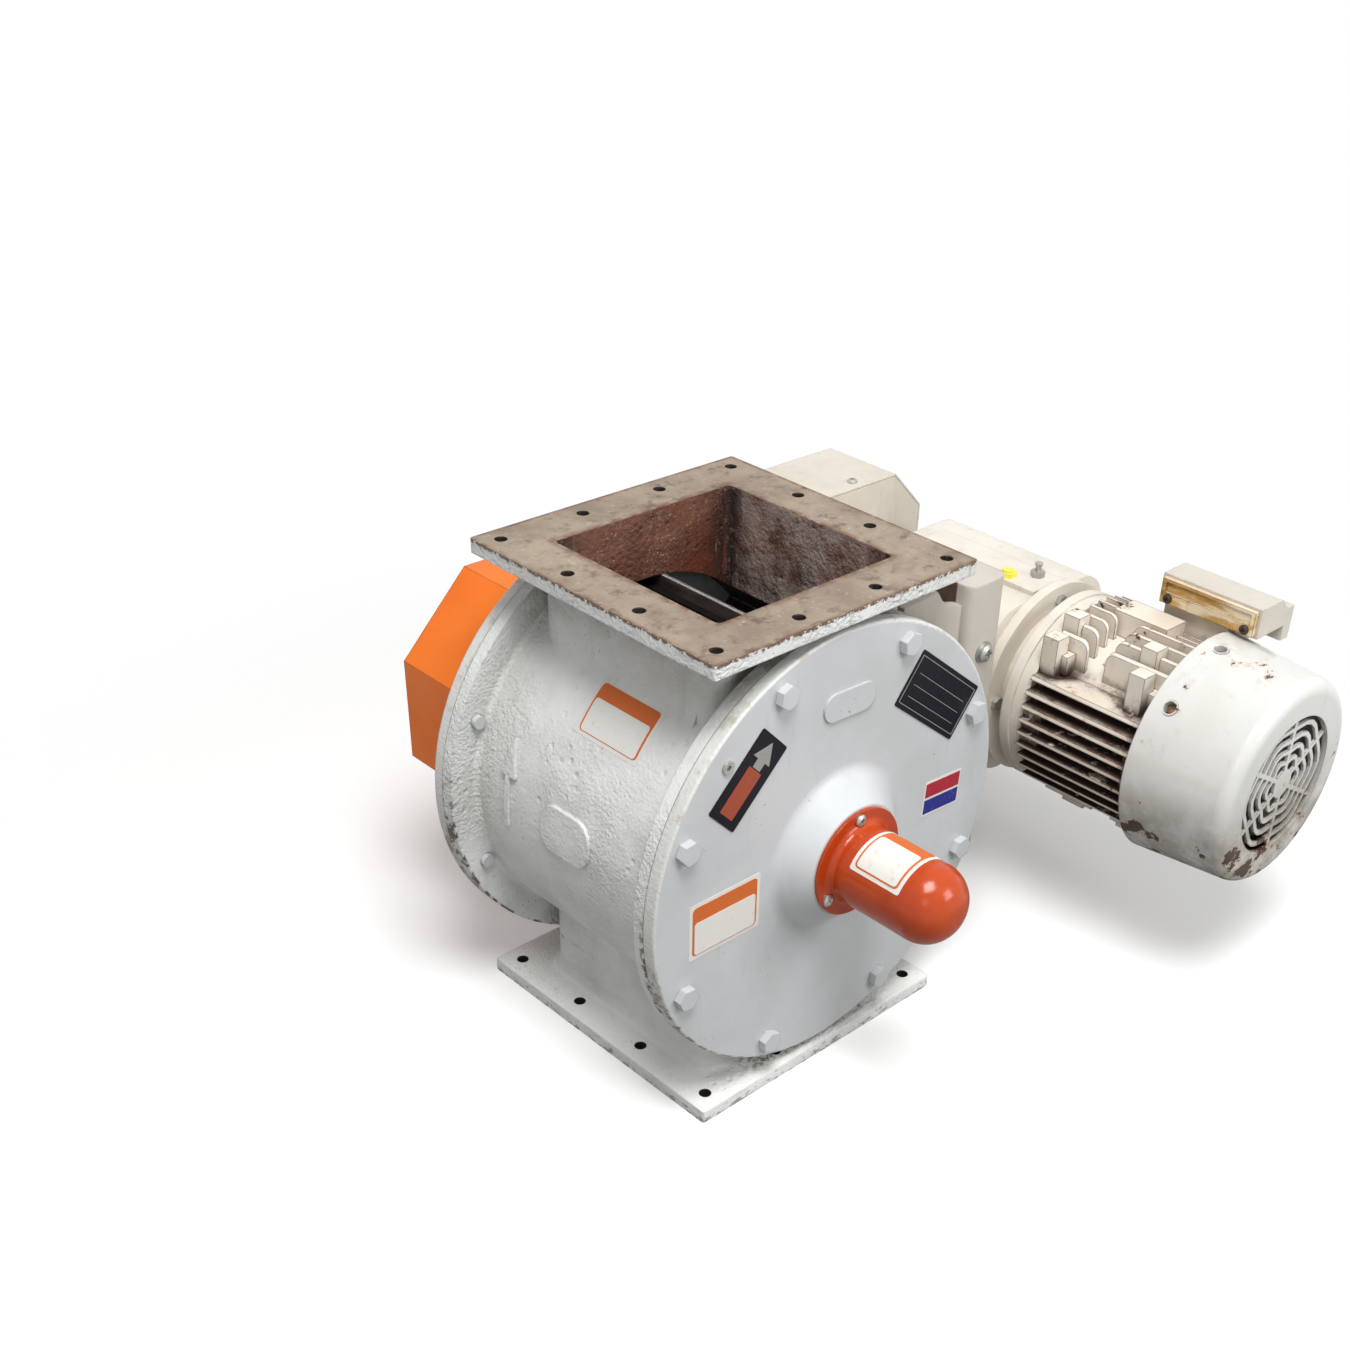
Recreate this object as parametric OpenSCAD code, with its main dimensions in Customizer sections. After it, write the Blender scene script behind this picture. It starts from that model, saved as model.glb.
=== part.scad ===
// Rotary airlock valve with a chain drive and a side-mounted gearmotor.
// Millimetres. +Z up. The rotor axis lies along Y: the shaft cap is at the -Y end,
// the chain drive at the +Y end, and the gearmotor stands on the +X side.
// The origin is the centre of the outlet flange's bottom face.

/* [Housing] */
// Clear height between the end covers and the flanges
flange_clear = 6.35; // [2:0.05:20]
// Side of the square inlet and outlet flanges
flange_side = 304.8; // [298:0.1:320]
// Thickness of the inlet and outlet flanges
flange_t = 12.7; // [8:0.1:18]
// Side of the square throat
throat_side = 203.2; // [160:0.1:215]
// Pitch of the flange holes
flange_pitch = 88.9; // [84:0.1:92]
// Diameter of the flange holes
flange_hole_d = 11.1; // [6:0.1:14]
// Bore of the housing
bore_d = 330.2; // [322:0.1:340]
// Wall of the barrel
barrel_wall = 15.4; // [11:0.1:17]
// Wall of the necks around the throats
neck_wall = 11.4; // [7:0.1:14]
// Length of the housing between the cover seats
body_len = 273; // [268:0.1:300]
// Thickness of the end rings
ring_t = 12.7; // [8:0.1:18]

/* [Covers] */
// Rim of the covers and of the end rings beyond the bore
cover_rim = 44.45; // [42:0.05:54]
// Thickness of the covers
cover_t = 12.7; // [8:0.1:18]
// Depth of the cover's pilot in the bore
pilot_depth = 9.4; // [4:0.1:14]
// Height of the boss on each cover
boss_h = 25.4; // [25:0.1:40]
// Diameter of the boss at its outer face
boss_top_d = 106; // [102:0.1:120]
// Diameter of the boss where it meets the cover
boss_base_d = 152; // [140:0.1:180]
// Distance from the covers' edge to the circle of cover bolts
cover_bolt_inset = 19.05; // [17:0.05:21]
// Number of bolts on each cover
cover_bolts = 8; // [6:2:12]
// Diameter of the cover bolts
cover_bolt_d = 12.7; // [8:0.1:13]

/* [Rotor] */
// Number of vanes
vanes = 8; // [6:1:10]
// Angle of the first vane from straight up
vane_start = 5.5; // [0:0.5:20]
// Thickness of a vane
vane_t = 9.5; // [5:0.1:12]
// Thickness of a vane's bolted tip bar
tip_t = 6.3; // [4:0.1:10]
// Height of a tip bar
tip_h = 36; // [30:0.1:45]
// How far a tip bar stands above its vane
tip_proud = 12.6; // [5:0.1:16]
// Running gap between the tip bars and the bore
tip_gap = 0.3; // [0.25:0.05:1]
// Running gap between the rotor and each cover
end_gap = 0.4; // [0.3:0.05:1]
// Diameter of the rotor hub
hub_d = 76; // [64:0.5:90]
// Diameter of the shaft inside the hub
shaft_mid_d = 50; // [44:0.5:56]
// Diameter of the shaft in the bearings
shaft_d = 35; // [30:0.5:35]

/* [Bearings] */
// Outer diameter of a shaft bearing
bearing_od = 72; // [70:0.5:74]
// Width of a shaft bearing
bearing_w = 17; // [14:0.5:17]
// Outer diameter of a shaft seal
seal_od = 62; // [58:0.5:64]
// Width of a shaft seal
seal_w = 10; // [7:0.5:10]

/* [Shaft cap] */
// Diameter of the cap's flange
cap_flange_d = 101.6; // [98:0.1:104]
// Outer diameter of the cap's tube
cap_tube_d = 73; // [66:0.1:76]
// Length of the cap with its dome
cap_len = 115; // [95:0.5:130]
// Wall of the cap
cap_wall = 2; // [1.5:0.1:3]
// Diameter of the circle of cap screws
cap_screw_pcd = 87; // [85:0.1:89]

/* [Chain drive] */
// Chain pitch
chain_pitch = 19.05; // [15.875:0.005:19.05]
// Diameter of a chain roller
roller_d = 11.91; // [9:0.01:11.91]
// Teeth on the rotor sprocket
driven_teeth = 30; // [28:1:30]
// Teeth on the gearbox sprocket
drive_teeth = 13; // [12:1:14]
// Number of chain links
chain_links = 64; // [64:2:66]
// Distance from the cover face to the middle of the chain
chain_offset = 91; // [85:0.5:95]
// Thickness of the sprocket teeth
tooth_t = 11.7; // [9:0.1:12]

/* [Chain guard] */
// Wall of the sheet-metal guard
guard_t = 2; // [1.5:0.1:3]
// Depth of the guard
guard_depth = 100; // [95:0.5:110]
// Distance from the cover face to the guard's back plate
guard_offset = 43.8; // [40:0.1:46]
// Clearance between the rotor sprocket and the guard's end
guard_gap_valve = 42; // [30:0.5:50]
// Clearance between the gearbox sprocket and the guard's end
guard_gap_motor = 42; // [30:0.5:50]
// Clearance between the rotor sprocket and the guard's top
guard_gap_top = 32; // [24:0.5:36]
// Corner chamfer at the valve end
guard_chamfer_valve = 76; // [60:0.5:84]
// Corner chamfer at the motor end
guard_chamfer_motor = 46; // [36:0.5:56]
// Where the orange and the motor-side covers meet, as a share of the centre distance
guard_split = 0.81; // [0.8:0.01:0.88]

/* [Gearmotor] */
// Side of the gearbox case
case_side = 184; // [170:0.5:188]
// Length of the gearbox case
case_len = 190; // [180:0.5:196]
// Wall of the gearbox case
case_wall = 12; // [9:0.1:16]
// Height of the gearbox axis above its feet
case_foot_h = 150; // [146:0.5:152]
// Diameter over the stator fins
stator_d = 208; // [196:0.5:212]
// Length of the stator frame
stator_len = 142; // [132:0.5:150]
// Outer diameter of the fan cowl
cowl_d = 226; // [222:0.5:230]
// Length of the fan cowl
cowl_len = 108; // [100:0.5:120]
// Diameter of the cowl's grille
grille_d = 140; // [120:0.5:176]
// Diameter of the output shaft
output_d = 35; // [30:0.5:36]
// Diameter of the motor shaft
motor_shaft_d = 28; // [24:0.5:30]

/* [Motor bracket] */
// Width of the bracket's column
column_w = 52; // [46:0.5:54]
// Thickness of the bracket's plates
bracket_t = 8; // [5:0.5:10]
// Height of the column's top above the rotor axis
column_top = 176; // [150:0.5:185]
// Length of the column along the valve
column_len = 236; // [230:0.5:238]

/* [Hidden] */
$fn = 64;

// Paint and metal
valve_grey = [0.80, 0.80, 0.79];
cover_grey = [0.78, 0.79, 0.81];
guard_orange = [0.98, 0.45, 0.14];
cap_orange = [0.88, 0.30, 0.10];
motor_cream = [0.90, 0.88, 0.82];
steel = [0.62, 0.62, 0.62];
dark_steel = [0.32, 0.30, 0.29];
zinc = [0.75, 0.75, 0.74];

// Shared places
cover_d = bore_d + 2 * cover_rim;
cover_bolt_pcd = cover_d - 2 * cover_bolt_inset;
overall_h = cover_d + 2 * (flange_t + flange_clear);
axis_z = overall_h / 2;
seat_y = body_len / 2;
face_y = seat_y + cover_t;
boss_y = face_y + boss_h;
pilot_y = seat_y - pilot_depth;
bore_r = bore_d / 2;
barrel_r = bore_r + barrel_wall;
neck_half = throat_side / 2 + neck_wall;
rotor_half = pilot_y - end_gap;
run_fit = 0.05;
seat_fit = 0.02;
bolt_hole_slack = 0.25;

// Shared fastener sizes
hex_ratio = 1.5;
head_ratio = 0.63;
bolt_stickout = 5;

// ---- Helpers ----

// Local +Z becomes the rotor axis, towards +Y.
module on_rotor() {
    translate([0, 0, axis_z]) rotate([-90, 0, 0]) children();
}

// The same at the front end, mirrored.
module on_front() {
    mirror([0, 1, 0]) on_rotor() children();
}

// Local +Z becomes the gearmotor axis, towards +Y.
module on_motor() {
    translate([centre_distance, 0, axis_z]) rotate([-90, 0, 0]) children();
}

// A place on a circle, with its angle measured from straight up towards +X.
module around(angle, radius) {
    rotate([0, 0, angle]) translate([0, -radius, 0]) children();
}

module rounded_square(w, d, r) {
    square([w - 2 * r, d], center = true);
    square([w, d - 2 * r], center = true);
    for (x = [-1, 1], y = [-1, 1]) translate([x * (w / 2 - r), y * (d / 2 - r)]) circle(r);
}

module ring(outer_r, inner_r, h) {
    difference() {
        cylinder(r = outer_r, h = h);
        translate([0, 0, -1]) cylinder(r = inner_r, h = h + 2);
    }
}

module cove_profile(r) {
    difference() {
        square(r);
        translate([r, r]) circle(r);
    }
}

// A hexagon-head screw: its head stands on z = 0 and its shank goes down.
module hex_bolt(d, length, head_h = 0) {
    head = head_h > 0 ? head_h : d * head_ratio;
    cylinder(r = d * hex_ratio / 2 / cos(30), h = head, $fn = 6);
    translate([0, 0, -length]) cylinder(r = d / 2, h = length + 0.1);
}

// A pan-head screw with a washer.
module pan_screw(d, length, washer_d = 0) {
    washer_h = washer_d > 0 ? d * 0.2 : 0;
    if (washer_d > 0) cylinder(r = washer_d / 2, h = washer_h);
    difference() {
        union() {
            translate([0, 0, washer_h]) cylinder(r = d * 0.95, h = d * 0.35);
            translate([0, 0, washer_h + d * 0.35]) cylinder(r1 = d * 0.95, r2 = d * 0.55, h = d * 0.25);
        }
        translate([0, 0, washer_h + d * 0.55]) {
            cube([d * 1.1, d * 0.22, d * 0.5], center = true);
            cube([d * 0.22, d * 1.1, d * 0.5], center = true);
        }
    }
    translate([0, 0, -length]) cylinder(r = d / 2, h = length + 0.1);
}

// ---- Housing ----

neck_corner = 22;
throat_corner = 5;
flange_corner = 3;
cove_r = 10;
ring_cove_r = 5;
barrel_cove_r = 20;
cover_r = cover_d / 2;

module flange_holes(z) {
    for (i = [-1.5:1:1.5], j = [-1.5:1:1.5])
        if (max(abs(i), abs(j)) > 1)
            translate([i * flange_pitch, j * flange_pitch, z - 1])
                cylinder(r = flange_hole_d / 2, h = flange_t + 2);
}

// The cove between a neck and its flange: straight runs and quarter turns.
module neck_cove() {
    straight = 2 * (neck_half - neck_corner);
    for (a = [0:90:270]) rotate([0, 0, a]) {
        translate([neck_half - 0.01, straight / 2, 0]) rotate([90, 0, 0])
            linear_extrude(straight) cove_profile(cove_r);
        translate([neck_half - neck_corner, neck_half - neck_corner, 0])
            rotate_extrude(angle = 90) translate([neck_corner - 0.01, 0]) cove_profile(cove_r);
    }
}

// The fillet between a neck's side wall and the barrel, drawn in the XZ plane.
module barrel_cove() {
    centre_x = neck_half + barrel_cove_r;
    centre_y = sqrt(pow(barrel_r + barrel_cove_r, 2) - pow(centre_x, 2));
    touch = barrel_r / (barrel_r + barrel_cove_r);
    difference() {
        polygon([
            [neck_half - 2, centre_y],
            [centre_x, centre_y],
            [centre_x * touch, centre_y * touch],
            [neck_half - 2, centre_y * touch - 2]
        ]);
        translate([centre_x, centre_y]) circle(barrel_cove_r);
    }
}

module cover_bolt_places() {
    for (i = [0:cover_bolts - 1]) around((i + 0.5) * 360 / cover_bolts, cover_bolt_pcd / 2) children();
}

arrow_y = 78.5;
arrow_h = 84;
arrow_w = 20;
pad_w = 64;
pad_h = 44;
raised = 3.5;

// A plain cast arrow and a plain oval pad on the barrel's -X side.
module barrel_markings() {
    intersection() {
        on_rotor() cylinder(r = barrel_r + raised, h = body_len - 2 * ring_t, center = true);
        translate([-barrel_r - 10, 0, axis_z]) rotate([90, 0, 90]) linear_extrude(60) {
            translate([arrow_y, -11]) {
                translate([-arrow_w / 8, 0]) square([arrow_w / 4, arrow_h - 10]);
                translate([0, arrow_h]) polygon([[-arrow_w / 2, -34], [arrow_w / 2, -34], [0, 0]]);
            }
            translate([-2, 16]) rounded_square(pad_w, pad_h, pad_h * 0.4);
        }
    }
}

module housing() color(valve_grey) difference() {
    union() {
        on_rotor() {
            cylinder(r = barrel_r, h = body_len - 2, center = true);
            for (s = [0, 1]) mirror([0, 0, s]) {
                translate([0, 0, seat_y - ring_t]) cylinder(r = cover_r, h = ring_t);
                mirror([0, 0, 1]) translate([0, 0, ring_t - seat_y])
                    rotate_extrude() translate([barrel_r - 0.01, 0]) cove_profile(ring_cove_r);
            }
        }
        translate([0, 0, flange_t / 2]) linear_extrude(overall_h - flange_t)
            rounded_square(2 * neck_half, 2 * neck_half, neck_corner);
        for (s = [0, 1]) translate([0, 0, s * overall_h]) mirror([0, 0, s]) {
            linear_extrude(flange_t) rounded_square(flange_side, flange_side, flange_corner);
            translate([0, 0, flange_t - 0.01]) neck_cove();
        }
        translate([0, 0, axis_z]) for (sx = [0, 1], sz = [0, 1])
            mirror([sx, 0, 0]) mirror([0, 0, sz])
                translate([0, neck_half - neck_corner, 0]) rotate([90, 0, 0])
                    linear_extrude(2 * (neck_half - neck_corner)) barrel_cove();
        barrel_markings();
    }
    on_rotor() {
        cylinder(r = bore_r, h = body_len + 2, center = true);
        for (s = [0, 1]) mirror([0, 0, s]) cover_bolt_places()
            translate([0, 0, seat_y - ring_t - 1])
                cylinder(r = cover_bolt_d / 2 + bolt_hole_slack, h = ring_t + 2);
    }
    translate([0, 0, -1]) linear_extrude(overall_h + 2)
        rounded_square(throat_side, throat_side, throat_corner);
    flange_holes(0);
    flange_holes(overall_h - flange_t);
}

// ---- Covers, bearings and seals ----

cover_edge_r = 3;
bearing_back = boss_y - 3.5;
bearing_front = bearing_back - bearing_w;
shoulder_t = 2.5;
seal_back = bearing_front - shoulder_t;
seal_front = seal_back - seal_w;
shaft_hole_r = shaft_d / 2 + 0.5;
pilot_r = bore_r - 0.1;
clip_t = 2.2;
clip_groove_r = bearing_od / 2 + 1.6;
jack_angle = -45;
jack_r = cover_bolt_pcd / 2 - 2.5;
jack_d = 9.5;

// The boss is a cone that runs into the cover's face with a tangent cove.
boss_cove_r = 14;
boss_slope = atan2(boss_h, (boss_base_d - boss_top_d) / 2);
boss_cove_run = boss_cove_r * tan(boss_slope / 2);
boss_cove_x = boss_base_d / 2 + boss_cove_run;

// Half section of a cover: radius, then distance along the shaft.
module cover_profile() {
    difference() {
        union() {
            translate([0, pilot_y]) square([pilot_r, pilot_depth + 1]);
            translate([0, seat_y]) square([cover_r - cover_edge_r, cover_t]);
            translate([0, seat_y]) square([cover_r, cover_t - cover_edge_r]);
            translate([cover_r - cover_edge_r, face_y - cover_edge_r]) circle(cover_edge_r);
            polygon([
                [0, face_y - 1],
                [boss_base_d / 2, face_y - 1],
                [boss_base_d / 2, face_y],
                [boss_top_d / 2, boss_y],
                [0, boss_y]
            ]);
            difference() {
                polygon([
                    [boss_base_d / 2 - 2, face_y - 1],
                    [boss_cove_x, face_y - 1],
                    [boss_cove_x, face_y],
                    [boss_cove_x, face_y + boss_cove_r],
                    [boss_base_d / 2 - boss_cove_run * cos(boss_slope), face_y + boss_cove_run * sin(boss_slope)]
                ]);
                translate([boss_cove_x, face_y + boss_cove_r]) circle(boss_cove_r);
            }
        }
        translate([-1, pilot_y - 1]) square([shaft_hole_r + 1, boss_y]);
        translate([0, seal_front]) square([seal_od / 2, boss_y]);
        translate([0, bearing_front]) square([bearing_od / 2, boss_y]);
        translate([0, bearing_back]) square([clip_groove_r, clip_t]);
    }
}

module cover_blank() {
    difference() {
        rotate_extrude() cover_profile();
        cover_bolt_places() translate([0, 0, seat_y - 1])
            cylinder(r = cover_bolt_d / 2 + bolt_hole_slack, h = cover_t + 2);
        for (a = [0, 180]) around(jack_angle + a, jack_r) translate([0, 0, seat_y - 1])
            cylinder(r = jack_d / 2 + seat_fit, h = cover_t + 2);
    }
}

module cap_screw_places() {
    for (a = [-3, 117, 237]) around(a, cap_screw_pcd / 2) children();
}

cap_screw_d = 6;
cap_screw_depth = 12;

module front_cover() color(cover_grey) on_front() {
    difference() {
        union() {
            cover_blank();
            around(2, 143) translate([0, 0, face_y - 0.5]) linear_extrude(2.5) {
                square([36, 26], center = true);
                for (s = [-1, 1]) translate([s * 18, 0]) circle(13);
            }
        }
        cap_screw_places() translate([0, 0, boss_y - cap_screw_depth])
            cylinder(r = cap_screw_d / 2 + seat_fit, h = cap_screw_depth + 1);
    }
}

standoff_d = 16;
standoff_pcd = 250;
standoff_screw_d = 8;
standoff_angles = [45, 135, 225, 315];

module drive_cover() color(cover_grey) on_rotor() difference() {
    cover_blank();
    for (a = standoff_angles) around(a, standoff_pcd / 2) translate([0, 0, face_y - 10])
        cylinder(r = standoff_screw_d / 2 + seat_fit, h = 11);
}

module cover_bolt_set() color(cover_grey) cover_bolt_places() translate([0, 0, face_y])
    hex_bolt(cover_bolt_d, cover_t + ring_t + bolt_stickout, 8);

module front_cover_bolts() on_front() cover_bolt_set();
module drive_cover_bolts() on_rotor() cover_bolt_set();

module jack_screw_pair() color(zinc) for (a = [0, 180]) around(jack_angle + a, jack_r)
    translate([0, 0, seat_y + 0.5]) difference() {
        union() {
            cylinder(r = jack_d / 2, h = cover_t - 0.5);
            translate([0, 0, cover_t - 0.5]) cylinder(r = jack_d / 2 + 1.2, h = 2);
        }
        translate([0, 0, cover_t - 2]) cylinder(r = 2.4, h = 5);
    }

module cover_jack_screws() {
    on_front() jack_screw_pair();
    on_rotor() jack_screw_pair();
}

ball_r = 5.5;
ball_count = 9;
ball_pitch_r = (shaft_d + bearing_od) / 4;
race_gap = 0.08;
race_wall = 5.2;

module race_groove() {
    rotate_extrude() translate([ball_pitch_r, 0]) circle(ball_r + race_gap);
}

module bearing_outer() translate([0, 0, bearing_front + bearing_w / 2]) {
    color(steel) difference() {
        translate([0, 0, -bearing_w / 2]) ring(bearing_od / 2 - seat_fit, bearing_od / 2 - race_wall, bearing_w - seat_fit);
        race_groove();
    }
    color(zinc) for (i = [0:ball_count - 1]) rotate([0, 0, i * 360 / ball_count])
        translate([ball_pitch_r, 0, 0]) sphere(ball_r);
}

module bearing_inner() color(steel) translate([0, 0, bearing_front + bearing_w / 2]) difference() {
    translate([0, 0, -bearing_w / 2]) ring(shaft_d / 2 + race_wall, shaft_d / 2, bearing_w);
    race_groove();
}

module front_bearing() on_front() bearing_outer();
module drive_bearing() on_rotor() bearing_outer();
module front_bearing_inner() on_front() bearing_inner();
module drive_bearing_inner() on_rotor() bearing_inner();

module shaft_seal() color(dark_steel) translate([0, 0, seal_front]) rotate_extrude() polygon([
    [seal_od / 2 - seat_fit, 0],
    [seal_od / 2 - seat_fit, seal_w],
    [shaft_d / 2 + 4, seal_w],
    [shaft_d / 2 + run_fit, seal_w / 2 + 1],
    [shaft_d / 2 + run_fit, seal_w / 2 - 1],
    [shaft_d / 2 + 4, 2],
    [shaft_d / 2 + 8, 2],
    [shaft_d / 2 + 8, 0]
]);

module front_seal() on_front() shaft_seal();
module drive_seal() on_rotor() shaft_seal();

module bearing_clip() color(steel) translate([0, 0, bearing_back + seat_fit]) difference() {
    ring(clip_groove_r - seat_fit, bearing_od / 2 - 4, clip_t - 2 * seat_fit);
    translate([0, 0, -1]) linear_extrude(clip_t + 2) polygon([[0, 0], [-9, -50], [9, -50]]);
}

module bearing_clips() {
    on_front() bearing_clip();
    on_rotor() bearing_clip();
}

// ---- Shaft cap ----

cap_flange_t = 3.2;
spot_depth = 0.2;
cap_root_r = 6;

cap_dome_r = cap_tube_d / 2 * 0.88;
cap_crown_x = cap_tube_d / 2 - cap_dome_r;

// Half section of a domed tube, smaller all round by the given inset.
module cap_tube_section(inset) {
    top = cap_len - cap_dome_r;
    square([cap_tube_d / 2 - inset, top]);
    square([cap_crown_x, cap_len - inset]);
    intersection() {
        translate([cap_crown_x, top]) circle(cap_dome_r - inset);
        translate([cap_crown_x, top]) square(cap_dome_r);
    }
}

module shaft_cap() color(cap_orange) on_front() translate([0, 0, boss_y]) difference() {
    rotate_extrude() {
        square([cap_flange_d / 2, cap_flange_t]);
        translate([cap_tube_d / 2 - 0.01, cap_flange_t]) cove_profile(cap_root_r);
        cap_tube_section(0);
    }
    translate([0, 0, -0.01]) rotate_extrude() cap_tube_section(cap_wall);
    translate([0, 0, -1]) cylinder(r = cap_tube_d / 2 - cap_wall, h = 3);
    cap_screw_places() translate([0, 0, -1]) cylinder(r = cap_screw_d / 2 + bolt_hole_slack, h = 20);
    cap_screw_places() translate([0, 0, cap_flange_t - spot_depth]) cylinder(r = cap_screw_d, h = 20);
}

module shaft_cap_screws() color(zinc) on_front() cap_screw_places()
    translate([0, 0, boss_y + cap_flange_t - spot_depth]) pan_screw(cap_screw_d, cap_screw_depth);

// ---- Rotor ----

shaft_front_y = boss_y + cap_len - 30;
key_w = 10;
key_h = 8;
key_len = 34;
chain_y = face_y + chain_offset;
sprocket_hub_len = 42;
sprocket_back = chain_y - sprocket_hub_len / 2;
shaft_drive_y = chain_y + sprocket_hub_len / 2 + 8;
tip_bolt_d = 8;
tip_bolts_per_vane = 4;
tip_r = bore_r - tip_gap;
vane_r = tip_r - tip_proud;
tip_root_r = tip_r - tip_h;
tip_bolt_r = (tip_root_r + vane_r) / 2;
tip_bevel = 3;

module keyway(shaft_r, mid_y) {
    translate([-key_w / 2, -shaft_r - key_h / 2, mid_y - key_len / 2]) cube([key_w, key_h, key_len]);
}

module rotor_shaft() color(steel) on_rotor() difference() {
    union() {
        cylinder(r = shaft_mid_d / 2, h = 2 * rotor_half, center = true);
        translate([0, 0, -shaft_front_y]) cylinder(r = shaft_d / 2, h = shaft_front_y);
        cylinder(r = shaft_d / 2, h = shaft_drive_y - 1.5);
        translate([0, 0, shaft_drive_y - 1.5])
            cylinder(r1 = shaft_d / 2, r2 = shaft_d / 2 - 1.5, h = 1.5);
    }
    keyway(shaft_d / 2, chain_y);
}

module rotor_hub() color(dark_steel) on_rotor() translate([0, 0, -rotor_half])
    ring(hub_d / 2, shaft_mid_d / 2, 2 * rotor_half);

module vane_places() {
    on_rotor() for (i = [0:vanes - 1]) rotate([0, 0, vane_start + i * 360 / vanes]) children();
}

// Bolt holes and bolts lie across a vane, in local +X.
module tip_bolt_places() {
    for (i = [0:tip_bolts_per_vane - 1])
        translate([0, -tip_bolt_r, rotor_half * ((2 * i + 1) / tip_bolts_per_vane - 1)])
            rotate([0, 90, 0]) children();
}

module rotor_vanes() color(dark_steel) vane_places() difference() {
    translate([-vane_t / 2, -vane_r, -rotor_half]) cube([vane_t, vane_r - hub_d / 2 + 1, 2 * rotor_half]);
    cylinder(r = hub_d / 2, h = 2 * rotor_half + 2, center = true);
    tip_bolt_places() cylinder(r = tip_bolt_d / 2 + bolt_hole_slack, h = 3 * vane_t, center = true);
}

module rotor_tips() color(steel) vane_places() translate([vane_t / 2, 0, 0]) difference() {
    translate([0, 0, -rotor_half]) linear_extrude(2 * rotor_half) intersection() {
        polygon([
            [0, -tip_root_r],
            [0, -tip_r],
            [tip_t - tip_bevel, -tip_r],
            [tip_t, -tip_r + 2 * tip_bevel],
            [tip_t, -tip_root_r]
        ]);
        translate([-vane_t / 2, 0]) circle(tip_r, $fn = 180);
    }
    tip_bolt_places() cylinder(r = tip_bolt_d / 2 + bolt_hole_slack, h = 3 * tip_t, center = true);
}

module tip_bolts() color(zinc) vane_places() tip_bolt_places() {
    translate([0, 0, vane_t / 2 + tip_t]) hex_bolt(tip_bolt_d, vane_t + tip_t + 8);
    translate([0, 0, -vane_t / 2 - 6.5])
        cylinder(r = tip_bolt_d * hex_ratio / 2 / cos(30), h = 6.5, $fn = 6);
}

// ---- Chain drive ----

driven_pitch_r = chain_pitch / (2 * sin(180 / driven_teeth));
drive_pitch_r = chain_pitch / (2 * sin(180 / drive_teeth));

// Half the angle by which the chain's wrap differs from a half turn, for a centre distance.
function wrap_lean(distance) = asin((driven_pitch_r - drive_pitch_r) / distance);
function driven_wrap(distance) = (180 + 2 * wrap_lean(distance)) * driven_teeth / 360;
function drive_wrap(distance) = (180 - 2 * wrap_lean(distance)) * drive_teeth / 360;
function straight_run(distance) = distance * cos(wrap_lean(distance)) / chain_pitch;
function links_for(distance) =
    driven_wrap(distance) + drive_wrap(distance) + 2 * straight_run(distance);
// Halves the interval until the chain closes on a whole number of links.
function solve_distance(low, high, steps) = let (middle = (low + high) / 2)
    steps == 0 ? middle :
    links_for(middle) < chain_links ? solve_distance(middle, high, steps - 1)
                                    : solve_distance(low, middle, steps - 1);

centre_distance = solve_distance(200, 800, 40);
lean = wrap_lean(centre_distance);
driven_run = driven_wrap(centre_distance);
drive_run = drive_wrap(centre_distance);
straight = straight_run(centre_distance);

// Where the chain is, s links along its path: the wrap round the rotor sprocket,
// the upper run, the wrap round the gearbox sprocket and the lower run.
function on_circle(x, r, angle) = [x + r * cos(angle), r * sin(angle)];
function along(a, b, t) = a + (b - a) * t;
driven_out = on_circle(0, driven_pitch_r, 90 - lean);
drive_in = on_circle(centre_distance, drive_pitch_r, 90 - lean);
drive_out = on_circle(centre_distance, drive_pitch_r, lean - 90);
driven_in = on_circle(0, driven_pitch_r, lean - 90);
function chain_point(s) = let (p = s - floor(s / chain_links) * chain_links)
    p < driven_run
        ? on_circle(0, driven_pitch_r, lean - 90 - p * 360 / driven_teeth) :
    p < driven_run + straight
        ? along(driven_out, drive_in, (p - driven_run) / straight) :
    p < driven_run + straight + drive_run
        ? on_circle(centre_distance, drive_pitch_r,
            90 - lean - (p - driven_run - straight) * 360 / drive_teeth)
        : along(drive_out, driven_in, (p - driven_run - straight - drive_run) / straight);

// The first roller that lies on the gearbox sprocket sets that sprocket's angle.
first_on_drive = ceil(driven_run + straight);
drive_phase = 90 - lean - (first_on_drive - driven_run - straight) * 360 / drive_teeth;
driven_phase = lean - 90;

seat_r = 0.5025 * roller_d + 0.1;

// A sprocket's teeth: a disc with a seat and a widening mouth at each tooth gap.
module sprocket_outline(teeth, pitch_r, phase) {
    tip = chain_pitch * (0.6 + 1 / tan(180 / teeth)) / 2;
    half_gap = 180 / teeth;
    difference() {
        circle(tip, $fn = 180);
        for (i = [0:teeth - 1]) rotate(phase + i * 360 / teeth) {
            translate([pitch_r, 0]) circle(seat_r);
            polygon([
                [pitch_r, -seat_r],
                [tip + 2, -(tip + 2) * tan(half_gap)],
                [tip + 2, (tip + 2) * tan(half_gap)],
                [pitch_r, seat_r]
            ]);
        }
    }
}

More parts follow.
